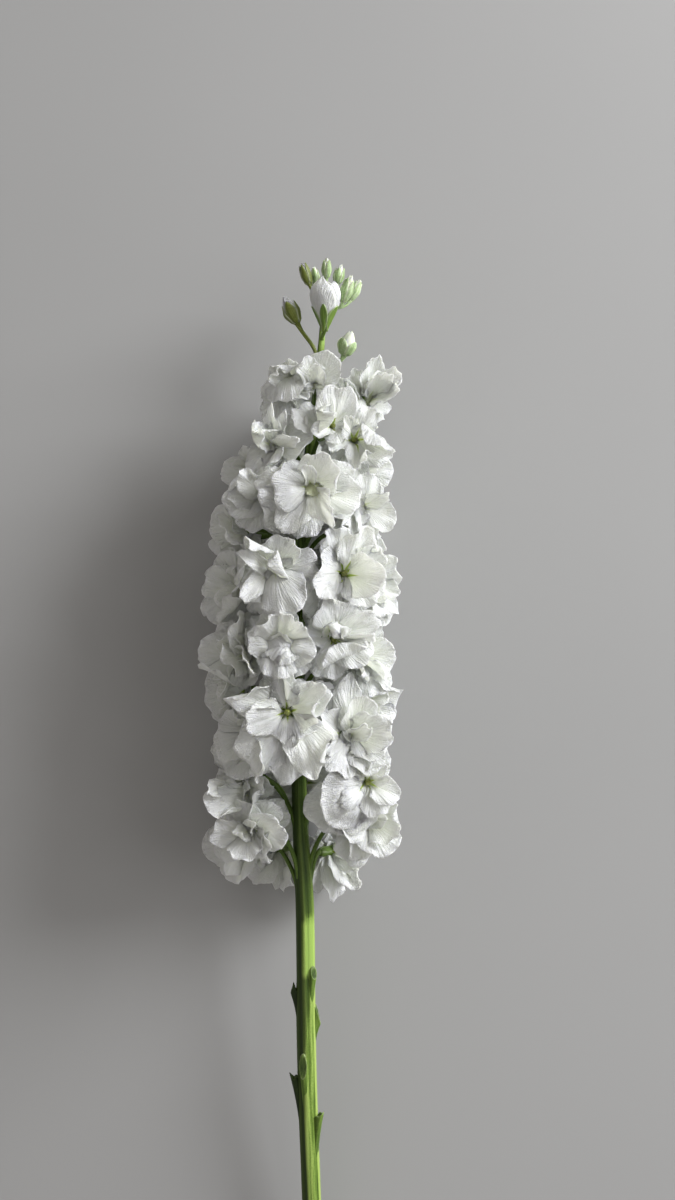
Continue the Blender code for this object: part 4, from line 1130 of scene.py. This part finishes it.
# ---------------------------------------------------------------- materials
class Nodes:
    def __init__(self, name):
        self.mat = bpy.data.materials.new(name)
        self.mat.use_nodes = True
        self.tree = self.mat.node_tree
        self.shader = self.tree.nodes["Principled BSDF"]

    def new(self, kind, **settings):
        node = self.tree.nodes.new(kind)
        for key, value in settings.items():
            setattr(node, key, value)
        return node

    def link(self, a, b):
        self.tree.links.new(a, b)

    def attribute(self, name):
        return self.new("ShaderNodeAttribute", attribute_type="GEOMETRY", attribute_name=name)

    def split(self, vector):
        node = self.new("ShaderNodeSeparateXYZ")
        self.link(vector, node.inputs[0])
        return node.outputs

    def math(self, op, a, b=None, clamp=False):
        node = self.new("ShaderNodeMath", operation=op, use_clamp=clamp)
        for socket, value in zip(node.inputs, (a, b)):
            if value is None:
                continue
            if isinstance(value, (int, float)):
                socket.default_value = value
            else:
                self.link(value, socket)
        return node.outputs[0]

    def scaled(self, vector, scale):
        node = self.new("ShaderNodeMapping")
        node.inputs["Scale"].default_value = scale
        self.link(vector, node.inputs["Vector"])
        return node.outputs[0]

    def noise(self, vector, scale, detail=3.0, rough=0.5):
        node = self.new("ShaderNodeTexNoise")
        node.inputs["Scale"].default_value = scale
        node.inputs["Detail"].default_value = detail
        node.inputs["Roughness"].default_value = rough
        self.link(vector, node.inputs["Vector"])
        return node.outputs["Fac"]

    def ramp(self, fac, *stops):
        node = self.new("ShaderNodeValToRGB")
        while len(node.color_ramp.elements) < len(stops):
            node.color_ramp.elements.new(0.5)
        for element, (at, colour) in zip(node.color_ramp.elements, stops):
            element.position = at
            element.color = (*colour, 1.0) if len(colour) == 3 else colour
        self.link(fac, node.inputs[0])
        return node.outputs[0]

    def mix(self, fac, a, b):
        node = self.new("ShaderNodeMix", data_type="RGBA")
        for socket, value in ((node.inputs[0], fac), (node.inputs[6], a), (node.inputs[7], b)):
            if isinstance(value, tuple):
                socket.default_value = (*value, 1.0)
            elif isinstance(value, (int, float)):
                socket.default_value = value
            else:
                self.link(value, socket)
        return node.outputs[2]

    def bump(self, height, distance, strength=1.0):
        node = self.new("ShaderNodeBump")
        node.inputs["Strength"].default_value = strength
        node.inputs["Distance"].default_value = distance
        self.link(height, node.inputs["Height"])
        self.link(node.outputs[0], self.shader.inputs["Normal"])

    def set(self, **values):
        for key, value in values.items():
            socket = self.shader.inputs[key.replace("_", " ")]
            if hasattr(value, "is_linked"):
                self.link(value, socket)
            else:
                socket.default_value = value


def petal_material():
    m = Nodes("petal_white")
    kind = m.split(m.attribute("kind").outputs["Vector"])
    flat = m.attribute("flat").outputs["Vector"]
    xyz = m.split(flat)
    along, edge, tint = kind[0], kind[1], kind[2]
    # veins fan out from the claw: noise in (angle, length) space, long down the petal
    beyond = m.math("MAXIMUM", m.math("SUBTRACT", xyz[1], 2.5), 0.6)
    angle = m.math("DIVIDE", xyz[0], beyond)
    fan = m.new("ShaderNodeCombineXYZ")
    m.link(m.math("MULTIPLY", angle, 9.0), fan.inputs[0])
    m.link(m.math("MULTIPLY", xyz[1], 0.11), fan.inputs[1])
    m.link(xyz[2], fan.inputs[2])
    veins = m.noise(fan.outputs[0], 1.0, 3.0, 0.55)
    crinkle = m.noise(flat, 0.42, 2.0, 0.45)
    # colour: cool white, a breath of green low down, yellow-green claws, and a thin rim painted brighter as a painted
    # highlight
    half = m.math("SUBTRACT", m.math("ADD", 0.65, m.math("MULTIPLY", veins, 0.8)), m.math("MULTIPLY", along, 2.9))
    streak = m.math("MULTIPLY", m.math("SUBTRACT", half, m.math("ABSOLUTE", xyz[0])), 2.2, True)
    claw = m.math("MAXIMUM", streak, m.math("SUBTRACT", 1.0, m.math("DIVIDE", along, 0.08), True))
    white = m.ramp(m.math("ADD", m.math("MULTIPLY", veins, 0.65), m.math("MULTIPLY", crinkle, 0.35)), (0.26, (0.84, 0.88, 0.80)), (0.50, (0.92, 0.95, 0.89)), (0.74, (0.96, 0.975, 0.94)))
    low = m.math("SUBTRACT", 1.0, m.math("DIVIDE", along, 0.80), True)
    white = m.mix(m.math("MULTIPLY", low, 0.52), white, (0.83, 0.88, 0.64))
    # painted highlight: the margin and the side edges are painted a brighter white, for light catching and shining
    # through the thin edges
    side = m.math("MULTIPLY", m.math("POWER", edge, 14.0), m.math("MULTIPLY", along, 1.6, True))
    rim = m.math("ADD", m.math("POWER", along, 13.0), side, True)
    white = m.mix(rim, white, (0.99, 0.99, 0.99))
    claw = m.math("MULTIPLY", claw, m.math("ADD", tint, 1.0, True))
    green = m.ramp(claw, (0.0, (0.80, 0.87, 0.48)), (0.5, (0.54, 0.67, 0.12)), (1.0, (0.30, 0.44, 0.04)))
    colour = m.mix(m.math("POWER", claw, 0.8), white, green)
    eye = m.math("SUBTRACT", tint, 1.0, True)
    colour = m.mix(eye, colour, m.ramp(veins, (0.3, (0.40, 0.53, 0.05)), (0.7, (0.68, 0.76, 0.20))))
    rough = m.math("ADD", m.math("MULTIPLY", crinkle, 0.22), 0.24)
    m.set(
        Base_Color=colour,
        Roughness=rough,
        Subsurface_Weight=0.85,
        Subsurface_Radius=(1.0, 1.0, 0.84),
        Subsurface_Scale=0.0014,
        Specular_IOR_Level=0.5,
    )
    pleat = m.new("ShaderNodeCombineXYZ")
    m.link(m.math("MULTIPLY", angle, 17.0), pleat.inputs[0])
    m.link(m.math("MULTIPLY", xyz[1], 0.16), pleat.inputs[1])
    m.link(xyz[2], pleat.inputs[2])
    ridges = m.math("ABSOLUTE", m.math("SUBTRACT", m.noise(pleat.outputs[0], 1.0, 1.0, 0.4), 0.5))
    pleats = m.math("MULTIPLY", ridges, m.math("POWER", along, 1.2))
    frill = m.math("MULTIPLY", m.noise(flat, 1.9, 2.0, 0.5), m.math("POWER", along, 3.0))
    height = m.math("ADD", m.math("MULTIPLY", veins, 1.0), m.math("ADD", m.math("MULTIPLY", crinkle, 0.45), m.math("MULTIPLY", pleats, 1.3)))
    height = m.math("ADD", height, m.math("MULTIPLY", frill, 0.75))
    m.bump(height, 0.00075, 1.0)
    return m.mat


def green_material(name, dark, mid, light, streak, bump=0.0001, weight=0.08, pale_edge=0.0, tip=None, ribs=0.0, painted_shading=0.0):
    """Plant skin: long streaks, a little mottling and a soft waxy shine."""
    m = Nodes(name)
    kind = m.split(m.attribute("kind").outputs["Vector"])
    flat = m.attribute("flat").outputs["Vector"]
    lines = m.noise(m.scaled(flat, (streak, 0.05, 1.0)), 1.0, 3.0, 0.6)
    spots = m.noise(flat, 1.6, 4.0, 0.6)
    mix = m.math("ADD", m.math("MULTIPLY", lines, 0.7), m.math("MULTIPLY", spots, 0.3))
    if ribs:
        # ribs are paler than the grooves between them
        high = m.math("MULTIPLY", m.math("SUBTRACT", kind[1], 0.975), 2.2 * ribs)
        mix = m.math("ADD", mix, high)
    colour = m.ramp(mix, (0.32, dark), (0.52, mid), (0.72, light))
    if painted_shading:
        # painted shade: a darker green down one side and in bands, where shade falls on the stem
        colour = m.mix(m.math("MULTIPLY", kind[2], painted_shading), colour, tuple(0.55 * c for c in dark))
        # and painted light: a paler green in patches where light falls on the stem
        colour = m.mix(m.math("MULTIPLY", kind[2], -1.0, True), colour, (0.36, 0.53, 0.12))
    if pale_edge:
        rim = m.math("MULTIPLY", m.math("POWER", kind[1], 5.0), pale_edge, True)
        colour = m.mix(rim, colour, (0.72, 0.78, 0.60))
    if tip is not None:
        hollow = m.math("SUBTRACT", m.math("MULTIPLY", kind[2], 2.0), 1.0, True)
        colour = m.mix(hollow, colour, m.ramp(spots, (0.40, (0.03, 0.055, 0.012)), (0.62, (0.13, 0.20, 0.05))))
        at_tip = m.math("MULTIPLY", m.math("POWER", kind[0], 26.0, True), m.math("ADD", m.math("MULTIPLY", spots, 1.6), -0.1), True)
        colour = m.mix(at_tip, colour, tip)
    m.set(
        Base_Color=colour,
        Roughness=m.math("ADD", m.math("MULTIPLY", spots, 0.25), 0.34),
        Subsurface_Weight=weight,
        Subsurface_Radius=(0.8, 1.0, 0.3),
        Subsurface_Scale=0.001,
        Specular_IOR_Level=0.25,
    )
    m.bump(m.math("ADD", lines, m.math("MULTIPLY", spots, 0.5)), bump, 0.8)
    return m.mat


PETAL = petal_material()
# the stem green also carries painted shade and painted light, laid out in stem()
STEM_SKIN = green_material("stem_green", (0.045, 0.085, 0.013), (0.15, 0.24, 0.038), (0.36, 0.49, 0.12), 1.3, 0.00022, weight=0.06, ribs=1.7, painted_shading=0.90)
STALK = green_material("stalk_green", (0.075, 0.135, 0.02), (0.15, 0.24, 0.042), (0.26, 0.36, 0.085), 2.0, 0.00012, pale_edge=0.45)
BUD_SKIN = green_material("bud_green", (0.14, 0.23, 0.07), (0.38, 0.50, 0.26), (0.70, 0.77, 0.58), 1.6, 0.00018, 0.20, pale_edge=0.95)
OLIVE_SKIN = green_material("bud_olive", (0.045, 0.065, 0.012), (0.15, 0.18, 0.03), (0.34, 0.39, 0.12), 1.6, 0.00018, 0.15, pale_edge=0.55)
STUB_SKIN = green_material("stub_green", (0.050, 0.095, 0.015), (0.120, 0.20, 0.03), (0.25, 0.36, 0.08), 1.4, 0.0002, tip=(0.46, 0.53, 0.27))
# painted shade: a darker copy of the stub green, for the two stubs on the shaded left side
STUB_PAINTED_SHADE = green_material("stub_painted_shade", (0.008, 0.016, 0.004), (0.017, 0.033, 0.006), (0.045, 0.075, 0.015), 1.4, 0.0002, tip=(0.09, 0.13, 0.04))
# painted shade: a darker copy of the stalk green, for the floret stalks and calyxes that lie in shade under the petals
CALYX_PAINTED_SHADE = green_material("calyx_painted_shade", (0.042, 0.078, 0.012), (0.098, 0.165, 0.026), (0.20, 0.29, 0.06), 2.0, 0.00012, pale_edge=0.35)
BUD_PETAL = green_material("bud_petal", (0.62, 0.70, 0.50), (0.76, 0.81, 0.66), (0.86, 0.88, 0.80), 1.8, 0.00012, 0.35)


# ---------------------------------------------------------------- florets
def crinkled(p, kind, rs):
    """The thin margin turns over here and there and is finely crimped."""
    normal = np.cross(np.gradient(p, axis=1), np.gradient(p, axis=0))
    normal /= np.maximum(np.linalg.norm(normal, axis=2, keepdims=True), 1e-9)
    away = np.gradient(p, axis=0)
    away /= np.maximum(np.linalg.norm(away, axis=2, keepdims=True), 1e-9)
    s, v = kind[..., 0], np.linspace(-1, 1, p.shape[1])[None, :]
    margin = np.maximum(s**9, np.abs(v) ** 12 * np.clip(2.5 * s, 0, 1))
    turned = 0.34 * np.sin(rs.uniform(1.5, 4.0) * v + rs.rand() * 6.3) * np.maximum(s**16, np.abs(v) ** 20 * np.clip(2.5 * s, 0, 1))
    crimp = rs.uniform(0.07, 0.20) * margin * rs.randn(*p.shape[:2])
    p = p + normal * (turned + crimp)[..., None]
    return p + away * (0.15 * s**14 * rs.randn(1, p.shape[1]))[..., None]


started = time.time()
for n, floret in enumerate(ALL, 1):
    rosette(n, floret)
settle(list(CROWDS.values()), 140)
print("settled in", round(time.time() - started, 1), "s")

TRIS = 0
for n, floret in enumerate(ALL, 1):
    name = f"floret_{n:02d}"
    flowers = Build()
    for crowd in CROWDS.values():
        for k, owner in enumerate(crowd.owner):
            if owner == n:
                grid = crowd.P[k].astype(float)
                if crowd is not CROWDS[NUB]:
                    grid = crinkled(grid, crowd.kind[k], np.random.RandomState(3000 + 40 * n + k))
                    grid[..., 2] = np.maximum(grid[..., 2], 0.35)
                flowers.sheet(grid, crowd.thick[k], crowd.flat[k], crowd.kind[k])
    obj = flowers.finish(name + "_petals", PETAL)
    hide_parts(name)
    TRIS += sum(len(p.vertices) - 2 for p in obj.data.polygons)
    green = Build()
    calyx(n, floret, green)
    # the floret stalks and calyxes take the painted-shade copy of the stalk green
    obj = green.finish(name + "_calyx", CALYX_PAINTED_SHADE, lambda p: soft_wall(p, vec(0, 0, -1), -0.05, 3.0, -0.02))
    TRIS += sum(len(p.vertices) - 2 for p in obj.data.polygons)


# ---------------------------------------------------------------- buds
# how far the sepals reach up the bud, how many of its petals show, how blunt it is, skin, lean of the sepal tips
BUD_LOOKS = {
    "bud_opening": (0.0, 0, 0.60, "olive", 0),
    "bud_left": (0.76, 4, 0.84, "olive", 7),
    "bud_right": (0.66, 5, 0.88, "pale", 12),
    "bud_tip_far_left": (0.90, 3, 0.80, "olive", 4),
    "bud_tip_left": (0.86, 3, 0.70, "pale", 7),
    "bud_tip_middle": (0.88, 3, 0.70, "pale", 8),
    "bud_tip_upper_right": (0.82, 3, 0.80, "pale", 10),
    "bud_tip_right": (0.84, 3, 0.72, "pale", 8),
    "bud_tip_far_right": (0.86, 3, 0.72, "pale", 8),
}


def bud_profile(t, blunt):
    """Radius of the bud along its length, as a share of the widest."""
    return np.clip(t / 0.10, 0, 1) ** 0.6 * (0.34 + 0.66 * np.clip(t / 0.42, 0, 1) ** 0.8) * np.clip(1.02 - np.clip(t - 0.30, 0, 1) ** 1.7 / 0.62, 0, 1) ** blunt


def bud_leaf(rs, rows, cols, length, radius, reach, half_turn, lift, blunt, flare, point):
    """One sepal or petal laid on the bud: from its foot to that share of the length."""
    t = np.linspace(0.0, 1.0, rows)[:, None]
    v = np.linspace(-1, 1, cols)[None, :]
    y = t * reach
    shape = np.clip(t / 0.22, 0, 1) ** 0.5 * np.clip(1 - t ** point, 0.0, 1) ** 0.62
    shape = np.maximum(shape, 0.05)
    a = v * half_turn * shape
    r = radius * bud_profile(y, blunt) + lift + np.tan(np.radians(flare)) * length * np.clip(y - reach * 0.62, 0, 1) ** 1.5
    r = r + 0.10 * rs.randn() * np.sin(7 * t + rs.rand() * 6) + 0.10 * np.cos(3.2 * v) * t
    r = np.maximum(r, 0.25)
    ridge = 0.14 * np.exp(-((v / 0.16) ** 2)) * np.clip(1.1 - t, 0, 1)
    r = r + ridge
    out, side = r * np.cos(a), r * np.sin(a)
    up = length * y + 0 * v
    flat = np.stack([a * radius, up, np.full_like(a, rs.rand() * 50)], -1)
    kind = np.stack([t + 0 * v, np.abs(v) + 0 * t, np.full_like(a, 0.55)], -1)
    return np.stack([out, side, up], -1), 0.30 * (1 - 0.4 * t**2) + 0 * v, flat, kind


OPEN_Y = (0.0, 2.0, 4.5, 7.5, 10.5, 13.0, 15.0, 17.0, 18.6, 20.0, 21.4)
OPEN_R = (1.0, 1.4, 2.5, 4.0, 5.4, 6.2, 6.3, 5.7, 4.7, 3.4, 1.9)


def open_bud(name, rs, green, base, aim):
    """A bud half open: broad petals rolled round each other, sepals only at its foot."""
    toward = vec(0, 0, 1)

    def shell(rows, cols, length, turn, lift, point, blunt, margin):
        t = np.linspace(0, 1, rows)[:, None]
        v = np.linspace(-1, 1, cols)[None, :]
        y = length * t
        shape = np.clip(t / 0.42, 0.12, 1) ** 0.55 * np.clip(1 - t**point, 0.0, 1) ** blunt
        shape = np.maximum(shape, 0.04)
        a = np.radians(turn) * v * shape
        r = np.interp(y, OPEN_Y, OPEN_R) + lift * np.clip(t / 0.3, 0, 1)
        r = r + margin * np.abs(v) ** 5 * np.clip(2 * t, 0, 1) * np.sin(2.0 * v + 4 * t + rs.rand() * 6)
        r = r + 0.14 * np.sin(5 * v + 3 * t + rs.rand() * 6) * t + 0.05 * rs.randn(rows, cols) * t**4
        across = np.maximum(r, 0.4)
        grid = np.stack([across * np.cos(a), across * np.sin(a), y + 0 * v], -1)
        flat = np.stack([a * across, y + 0 * v, np.full_like(a, rs.rand() * 50)], -1)
        kind = np.stack([t + 0 * v, np.abs(v) + 0 * t, np.full_like(a, 0.6)], -1)
        return grid, flat, kind

    for degrees, length, turn in ((8, 10.0, 34), (78, 9.4, 44), (-62, 9.8, 62), (180, 9.8, 50)):
        grid, flat, kind = shell(14, 11, length, turn, 0.35, 2.4, 0.8, 0.0)
        grid[..., 0] += 0.15 * np.exp(-((flat[..., 0] / 0.5) ** 2))
        green.sheet(place(grid, base, aim, around(aim, toward, degrees)), 0.32 + 0 * kind[..., 0], flat, kind)
    obj = green.finish(name + "_sepals", STALK)
    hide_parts(name)
    white = Build()
    for degrees, length, turn, lift, point, blunt in (
        (30, 21.2, 86, 0.15, 3.0, 0.80),
        (-64, 19.4, 64, -0.25, 6.0, 0.55),
        (120, 19.6, 66, -0.2, 5.0, 0.6),
        (182, 20.0, 70, 0.0, 5.0, 0.6),
        (-122, 19.2, 62, -0.5, 5.0, 0.6),
        (70, 18.8, 80, -1.0, 5.0, 0.6),
        (-60, 18.4, 80, -1.2, 5.0, 0.6),
        (185, 18.2, 80, -1.4, 5.0, 0.6),
    ):
        grid, flat, kind = shell(22, 23, length, turn, lift, point, blunt, 0.22)
        white.sheet(place(grid, base, aim, around(aim, toward, degrees)), 0.26 - 0.08 * kind[..., 0], flat, kind)
    white.finish(name + "_petals", PETAL)


def bud(name, row):
    foot_y, middle, aim, length, width = row
    reach, petals, blunt, skin, flare = BUD_LOOKS[name]
    rs = np.random.RandomState(len(name) * 7 + int(foot_y))
    middle, aim = vec(*middle), unit(vec(*aim))
    base = middle - aim * (length * 0.5)
    along, _, _ = stem_axes(foot_y)
    side = unit(base - centre(foot_y))
    out = unit(side - along * (side @ along))
    r = 0.55 if width < 6 else 0.80
    foot = centre(foot_y) + out * (stem_radius(foot_y) - 0.4)
    gap = np.linalg.norm(base - foot)
    path = [bezier(foot, foot + along * gap * 0.45, base - aim * gap * 0.4, base, t) for t in np.linspace(0, 1, 13)]
    green = Build()
    green.tube(path + [base + aim * 0.5], [r] * 11 + [r * 1.15, r * 1.4, r * 1.7], 9, vec(0, 0, 0.2))
    if name == "bud_opening":
        open_bud(name, rs, green, base - aim * 1.2, aim)
        return
    twist = rs.uniform(0, 90)
    for i in range(4):
        grid, thick, flat, kind = bud_leaf(
            rs, 14, 11, length, width * 0.44, reach * rs.uniform(0.93, 1.04), 0.94,
            0.12 + 0.16 * (i % 2), blunt, flare * rs.uniform(0.5, 1.5), 2.6,
        )
        green.sheet(place(grid, base, aim, around(aim, vec(0.2, 0.1, 1.0), twist + 90 * i)), thick, flat, kind)
    obj = green.finish(name + "_sepals", OLIVE_SKIN if skin == "olive" else BUD_SKIN)
    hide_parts(name)

    # the rolled petals inside, each a broad leaf laid over the last
    white = Build()
    for i in range(max(petals, 3)):
        grid, thick, flat, kind = bud_leaf(
            rs, 14, 13, length, width * 0.40, rs.uniform(0.94, 1.0), 1.25, 0.05 * (i % 3) - 0.15, blunt, 0.0, 3.4,
        )
        kind[..., 0] = 0.34 + 0.66 * kind[..., 0]
        kind[..., 2] = 0.4
        grid[..., 2] *= 0.985
        white.sheet(place(grid, base, aim, around(aim, vec(0.2, 0.1, 1.0), twist + 20 + 137.5 * i)), thick, flat, kind)
    t = np.linspace(0.02, 0.93, 12)
    core = width * 0.34 * bud_profile(t, blunt)
    white.tube([base + aim * length * k for k in t], core, 12, vec(0, 0.3, 0.5))
    obj = white.finish(name + "_petals", PETAL if skin == "olive" else BUD_PETAL)


for bud_name, bud_row in BUDS.items():
    bud(bud_name, bud_row)


# ---------------------------------------------------------------- stem and stubs
def stem():
    """The stem, with the soft ribs that run down it and a stronger one below each leaf base."""
    count, sides = 170, 56
    ys = np.linspace(CUT_END_Y, TIP_Y, count)
    a = np.linspace(0, 2 * np.pi, sides, endpoint=False)[None, :]
    y = ys[:, None]
    low = np.clip((120 - y) / 160, 0.25, 1)
    wave = 0.045 * np.cos(5 * a + 0.010 * y + 0.6) + 0.028 * np.cos(8 * a - 0.014 * y + 1.0) + 0.016 * np.cos(13 * a + 0.02 * y)
    wave = wave - 0.05 * np.exp(-(((a - 5.45 + 0.0011 * y) / 0.16) ** 2))
    skin = 0.972 + wave * low
    for top_y, phi, length, width, stand in STUBS:
        away = np.angle(np.exp(1j * (a - math.radians(phi))))
        below = np.clip((top_y - y) / 6, 0, 1) * np.clip(1 - (top_y - length * 0.5 - y) / 110, 0, 1)
        skin = skin + 0.085 * np.exp(-((away / 0.34) ** 2)) * below
    rings = np.zeros((count, sides, 3))
    for k, yk in enumerate(ys):
        _, right, up = stem_axes(yk)
        r = stem_radius(yk) * np.minimum(skin[k], 1.06)
        rings[k] = centre(yk) + np.outer(np.sin(a[0]) * r, right) + np.outer(np.cos(a[0]) * r, up)
    flat = np.stack(np.broadcast_arrays(a * 3.75, y, 0.0 * y), -1)
    # how far the painted shade reaches across from the left: -1 not at all, 1 all the way
    across = np.interp(y, (-230, -150, -100, -80, -47, -43, -31, -28.5, -6.5, -4, 20, 160, 170), (0.0, -0.1, -0.25, 0.0, 0.30, 0.5, 0.5, -0.34, -0.34, 1.0, 1.1, 1.1, -0.7))
    bow = np.sin(a + 0.10 * np.sin(0.06 * y))
    # painted shade: darker green down the left side, across most of the stem under the flowers, and in a band below
    # the first stubs
    painted_shading_amount = np.clip((across - bow) * 3.2, 0, 1) * np.clip(0.80 - 0.25 * bow, 0, 1)
    # painted light: paler green on the lit side in a band just below the lowest flowers and towards the tip
    painted_light_patch = np.interp(y, (-31, -28.5, -6.5, -4.5, 160, 170), (0, 1, 1, 0, 0, 1)) * np.clip((bow + 0.25) * 3, 0, 1)
    painted_shading_amount = painted_shading_amount - 0.7 * painted_light_patch * (painted_shading_amount < 0.05)
    kind = np.stack(np.broadcast_arrays((y - CUT_END_Y) / (TIP_Y - CUT_END_Y), skin, painted_shading_amount), -1)
    build = Build()
    build.loft(rings[:, ::-1], flat[:, ::-1], kind[:, ::-1])
    obj = build.finish("stem_skin", STEM_SKIN)
    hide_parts("main_stem")


stem()


# The torn top of each stub: how high the edge is in mm, from the side next to the stem (-1) to the outside (1),
# how hollow the cut is, and how much further it stands off
TORN = {
    1: (((-1, 0.8), (0, -1.4), (1, -4.4)), 1.1, 0.0),
    2: (((-1, -5.0), (-0.45, -4.8), (0.3, -1.5), (0.65, -3.4), (1, -6.0)), 0.2, 0.4),
    3: (((-1, -1.0), (-0.12, -1.8), (0.4, -5.0), (1, -9.3)), 0.3, 0.3),
    4: (((-1, -0.6), (0, -5.4), (1, -11.1)), 1.3, 0.0),
    5: (((-1, -5.6), (-0.26, -4.6), (0.26, -5.8), (1, -2.8)), 0.2, 1.0),
    6: (((-1, -5.4), (-0.2, -4.7), (0.4, -4.4), (1, -3.2)), 0.5, 0.5),
}


def stub(number, row):
    """What is left of a leaf: a rib that rises off the stem and ends in a torn lip."""
    top_y, phi, length, width, stand = row
    heights, hollow, further = TORN[number]
    stand += further
    rs = np.random.RandomState(40 + number)
    rows, sides = 34, 26
    a = math.radians(phi)
    b = np.linspace(0, 2 * np.pi, sides, endpoint=False)
    c, d = np.cos(b), np.sin(b)
    top = np.interp(d, *zip(*heights))
    fray = rs.uniform(-0.12, 0.25, sides)
    nick = 1 + rs.uniform(-0.10, 0.06, sides)
    rings, kind, flat = (np.zeros((rows + 3, sides, 3)) for _ in range(3))
    for i in range(rows + 3):
        t = min(i / (rows - 1), 1.0)
        y = top_y - length * (1 - t)
        along, right, up = stem_axes(y)
        out = right * math.sin(a) + up * math.cos(a)
        side = right * math.cos(a) - up * math.sin(a)
        r = stem_radius(y)
        half = width * 0.5 * (0.42 + 0.58 * t**0.5)
        outer = r * 0.985 + stand * t**1.7
        inner = r * 0.72
        if abs(phi) < 60:
            inner += (r * 1.02 - inner) * np.clip((t - 0.60) / 0.40, 0, 1)
        deep = (outer - inner) / 2
        edge = (1.0, 0.74, 0.42, 0.15)[max(i - rows + 1, 0)]
        sink = hollow * (0.0, 0.45, 0.85, 1.0)[max(i - rows + 1, 0)]
        lift = top * t**1.2 + fray * (t == 1.0) * (1.8 if number in (3, 6) else 1.0)
        rings[i] = (
            centre(y)
            + out * (outer + inner) / 2
            + np.outer(c * half * edge * (nick if t == 1.0 else 1.0), side)
            + np.outer(d * deep * edge * (nick if t == 1.0 else 1.0), out)
            + np.outer(lift * edge + lift.mean() * (1 - edge) - sink, along)
        )
        pale, inside = (0.80 * t, 0.5) if i < rows - 1 else ((1.0, 0.5), (0.88, 0.85), (0.6, 1.0), (0.6, 1.0))[i - rows + 1]
        kind[i] = np.stack([np.full(sides, pale), np.abs(c), np.full(sides, inside)], 1)
        flat[i] = np.stack([c * half, np.full(sides, length * t), np.full(sides, number * 3.0)], 1)
    build = Build()
    build.loft(rings[:, ::-1], flat[:, ::-1], kind[:, ::-1])
    # stubs 2 and 5, on the left, get the painted-shade copy of the stub green
    obj = build.finish(f"leaf_stub_{number}_torn", STUB_PAINTED_SHADE if number in (2, 5) else STUB_SKIN)
    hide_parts(f"leaf_stub_{number}")


for n, row in enumerate(STUBS, 1):
    stub(n, row)


# ---------------------------------------------------------------- floor, light, camera
def floor():
    mesh = bpy.data.meshes.new("floor")
    r = 3.0
    mesh.from_pydata([(-r, -r, 0), (r, -r, 0), (r, r, 0), (-r, r, 0)], [], [(0, 1, 2, 3)])
    obj = bpy.data.objects.new("floor", mesh)
    bpy.context.scene.collection.objects.link(obj)
    m = Nodes("floor")
    coord = m.new("ShaderNodeTexCoord").outputs["Object"]
    cloud = m.noise(coord, 3.0, 2.0)
    m.set(Base_Color=m.ramp(cloud, (0.3, (0.385, 0.383, 0.392)), (0.7, (0.415, 0.412, 0.422))), Roughness=0.9, Specular_IOR_Level=0.1)
    mesh.materials.append(m.mat)


def area(name, at, target, size, power, colour=(1, 1, 1)):
    light = bpy.data.lights.new(name, "AREA")
    light.shape = "DISK"
    light.size = size
    light.energy = power
    light.color = colour
    obj = bpy.data.objects.new(name, light)
    obj.location = at
    obj.rotation_euler = (Vector(target) - Vector(at)).to_track_quat("-Z", "Y").to_euler()
    bpy.context.scene.collection.objects.link(obj)


floor()
area("key", (1.36, 0.90, 0.56), (0.0, 0.08, 0.03), 0.90, 43.0, (0.985, 1.0, 0.985))
area("fill", (-0.9, -0.3, 1.0), (0.0, 0.05, 0.03), 1.2, 0.8, (1.0, 0.92, 0.83))
area("side", (1.2, 0.2, 1.0), (0.0, 0.08, 0.03), 1.2, 5.0, (0.99, 1.0, 0.99))
world = bpy.data.worlds.new("studio")
world.use_nodes = True
world.node_tree.nodes["Background"].inputs["Color"].default_value = (0.86, 0.83, 0.775, 1.0)
world.node_tree.nodes["Background"].inputs["Strength"].default_value = 0.37
bpy.context.scene.world = world
bpy.context.scene.view_settings.view_transform = "Standard"

camera = bpy.data.cameras.new("camera")
camera.lens = 37.5
camera.sensor_width = 36.0
obj = bpy.data.objects.new("camera", camera)
obj.location = tuple((vec(13.4, 122.0, 531.0) - ORIGIN) * 0.001)
bpy.context.scene.collection.objects.link(obj)
bpy.context.scene.camera = obj

for shape, crowd in CROWDS.items():
    print("petals", shape, len(crowd.owner))
print("triangles", TRIS)
